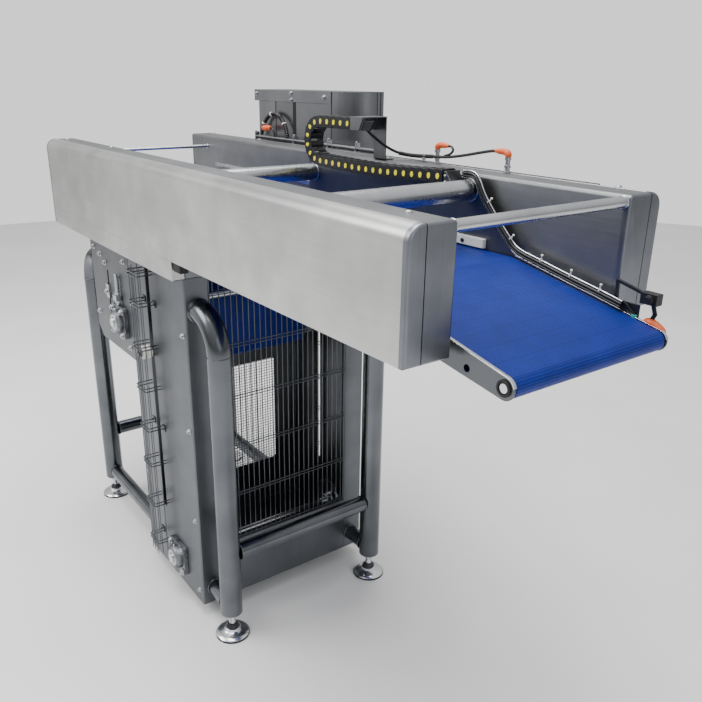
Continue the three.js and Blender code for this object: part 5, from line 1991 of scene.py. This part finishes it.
    def build_cables(self) -> None:
        """The sensor cable: out of the post, down onto the beam and along it to the front sensor's plug."""
        path = smooth_path(list(self.cable), 8)
        run = tube(path, self.cable_radius, 14)
        made = piece("sensor_cable_run", run, CABLE_SHEATH, Body.ROOT, ("sensor_cable",))
        DATUM.point(*self.cable[0])
        DATUM.place(path[::2]).tolist()
        line = [(-566, 290, 1385.6), (-556, 290, 1384), (-550, 289, 1376), (-558, 287, 1367)]
        line.append((-576, 286, 1361))
        tail = tube(smooth_path(line, 8), 3.0, 12)
        piece("rear_sensor_tail", tail, CABLE_SHEATH, Body.ROOT)
        line = [(-724, 262, 1358), (-708, 279, 1354), (-680, 287, 1353), (-622, 288, 1356)]
        sleeve = tube(smooth_path(line, 6), 5.2, 14)
        piece("sensor_cable_sleeve", sleeve, BLACK_RUBBER, Body.ROOT)


def dress_rest() -> None:
    """Gives each CAD node that keeps its shape its finish, by its record slot."""
    finishes = {
        Slot.BRUSHED.value: HOOD_SHEET, Slot.SATIN.value: PANEL_SHEET, Slot.BRIGHT.value: CHROME,
        Slot.WIRE.value: ROUND_WIRE, Slot.BELT.value: BLUE_ACETAL, Slot.BLACK.value: BLACK_NYLON,
        Slot.CAST.value: CAST,
    }
    for entry in frame["record"]["subparts"]:
        dress(finishes[entry["material_slot"]], entry["node"])


ASSEMBLIES = (
    Beams(), CrossBars(), Stand(), Tower(), Guards(), Gussets(),
    FlangeBearing("chain", -1052.0, 140.0), FlangeBearing("drive", -1385.0, 820.0), TakeUp(), Belt(),
    Shuttle(), CableCarrier(), NoseCables(), NoseSensor(), Hood(), BeamTopFittings(),
)


# ---- studio ----
@dataclass
class Studio:
    """The camera, a pale floor and soft lights."""

    eye: tuple = (822.8, -1043.1, 1542.9)
    yaw: float = 54.616
    pitch: float = -20.303
    roll: float = 0.354
    lens: float = 38.10
    shift: tuple = (0.0247, 0.0022)

    def build_camera(self) -> None:
        """Sets the camera: turned about Z by the yaw, tilted by the pitch, then rolled about its own view."""
        data = bpy.data.cameras.new("camera")
        data.lens, data.sensor_width = self.lens, 36.0
        data.shift_x, data.shift_y = self.shift
        data.clip_start, data.clip_end = 0.05, 60.0
        made = bpy.data.objects.new("camera", data)
        turn = Matrix.Rotation(math.radians(self.yaw), 4, "Z") @ Matrix.Rotation(
            math.radians(90 + self.pitch), 4, "X"
        )
        turn = turn @ Matrix.Rotation(math.radians(self.roll), 4, "Z")
        made.matrix_world = Matrix.Translation(DATUM.point(*self.eye)) @ turn
        bpy.context.scene.collection.objects.link(made)
        bpy.context.scene.camera = made

    def light(
            self, name: str, place: tuple, aim: tuple, size: tuple, watts: float, tint: str = "#FFFFFF"
    ) -> None:
        """One rectangular soft light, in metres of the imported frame, facing a point."""
        data = bpy.data.lights.new(name, "AREA")
        data.shape, (data.size, data.size_y) = "RECTANGLE", size
        data.energy, data.color = watts, linear(tint)[:3]
        made = bpy.data.objects.new(name, data)
        made.location = place
        made.rotation_euler = (Vector(aim) - Vector(place)).to_track_quat("-Z", "Y").to_euler()
        bpy.context.scene.collection.objects.link(made)

    def build_world(self) -> None:
        """A grey surround, paler overhead and darker low down, with a white backdrop behind everything."""
        world = bpy.data.worlds.new("studio")
        world.use_nodes = True
        tree = world.node_tree
        tree.nodes.clear()
        way = add_node(tree, "ShaderNodeTexCoord").outputs["Generated"]
        height = add_node(tree, "ShaderNodeSeparateXYZ", {"Vector": way}).outputs["Z"]
        span = {"Value": height, "From Min": -0.6, "From Max": 0.9}
        share = add_node(tree, "ShaderNodeMapRange", span).outputs["Result"]
        stops = [(0.0, grey(0.34)), (0.38, grey(0.34)), (0.5, grey(0.62)), (1.0, grey(1.0))]
        around = add_node(tree, "ShaderNodeBackground", {"Color": ramp(tree, share, stops), "Strength": 0.9})
        backdrop = add_node(tree, "ShaderNodeBackground", {"Color": grey(1.0), "Strength": 1.2})
        seen = add_node(tree, "ShaderNodeLightPath").outputs["Is Camera Ray"]
        both = {0: seen, 1: around.outputs[0], 2: backdrop.outputs[0]}
        mixed = add_node(tree, "ShaderNodeMixShader", both)
        add_node(tree, "ShaderNodeOutputWorld", {"Surface": mixed.outputs[0]})
        bpy.context.scene.world = world

    def build_floor(self) -> None:
        """A wide, flat pale disc whose top is a hair below the feet."""
        reach = np.array([0.02, 2.0, 4.0, 6.0, 8.0]) * 1000
        rows = np.stack([lifted(circle(r, 64), Axis.Z, -0.3) for r in reach])
        under = np.stack([lifted(circle(r, 64), Axis.Z, -20) for r in reach[::-1]])
        floor = make_mesh("floor", grid(np.vstack([under, rows[::-1]])[::-1] * [1, -1, 1]))
        floor.data.materials.append(PALE_FLOOR.material())

    def build_lights(self) -> None:
        """A key light over the near side, a low panel beside it, a fill from the front and a top panel."""
        self.light("key", (-1.6, -3.0, 3.6), (0.0, 0.0, 1.1), (2.6, 1.8), 100)
        self.light("side", (-3.2, -2.8, 1.1), (0.0, -0.3, 1.2), (2.6, 1.4), 10)
        self.light("fill", (4.0, -0.8, 2.2), (0.0, 0.0, 1.0), (2.0, 2.0), 14, "#F2F6FF")
        self.light("top", (-0.2, -0.2, 4.2), (0.0, 0.0, 1.0), (3.4, 2.0), 165)


def main() -> None:
    """Builds the studio and then each sub-assembly in turn."""
    logging.basicConfig(level=logging.INFO, format="%(name)s %(message)s")
    studio = Studio()
    studio.build_camera()
    studio.build_world()
    studio.build_floor()
    studio.build_lights()
    for assembly in ASSEMBLIES:
        LOG.info("%s", type(assembly).__name__)
        assembly.build()
    dress_rest()


if __name__ == "__main__":
    main()
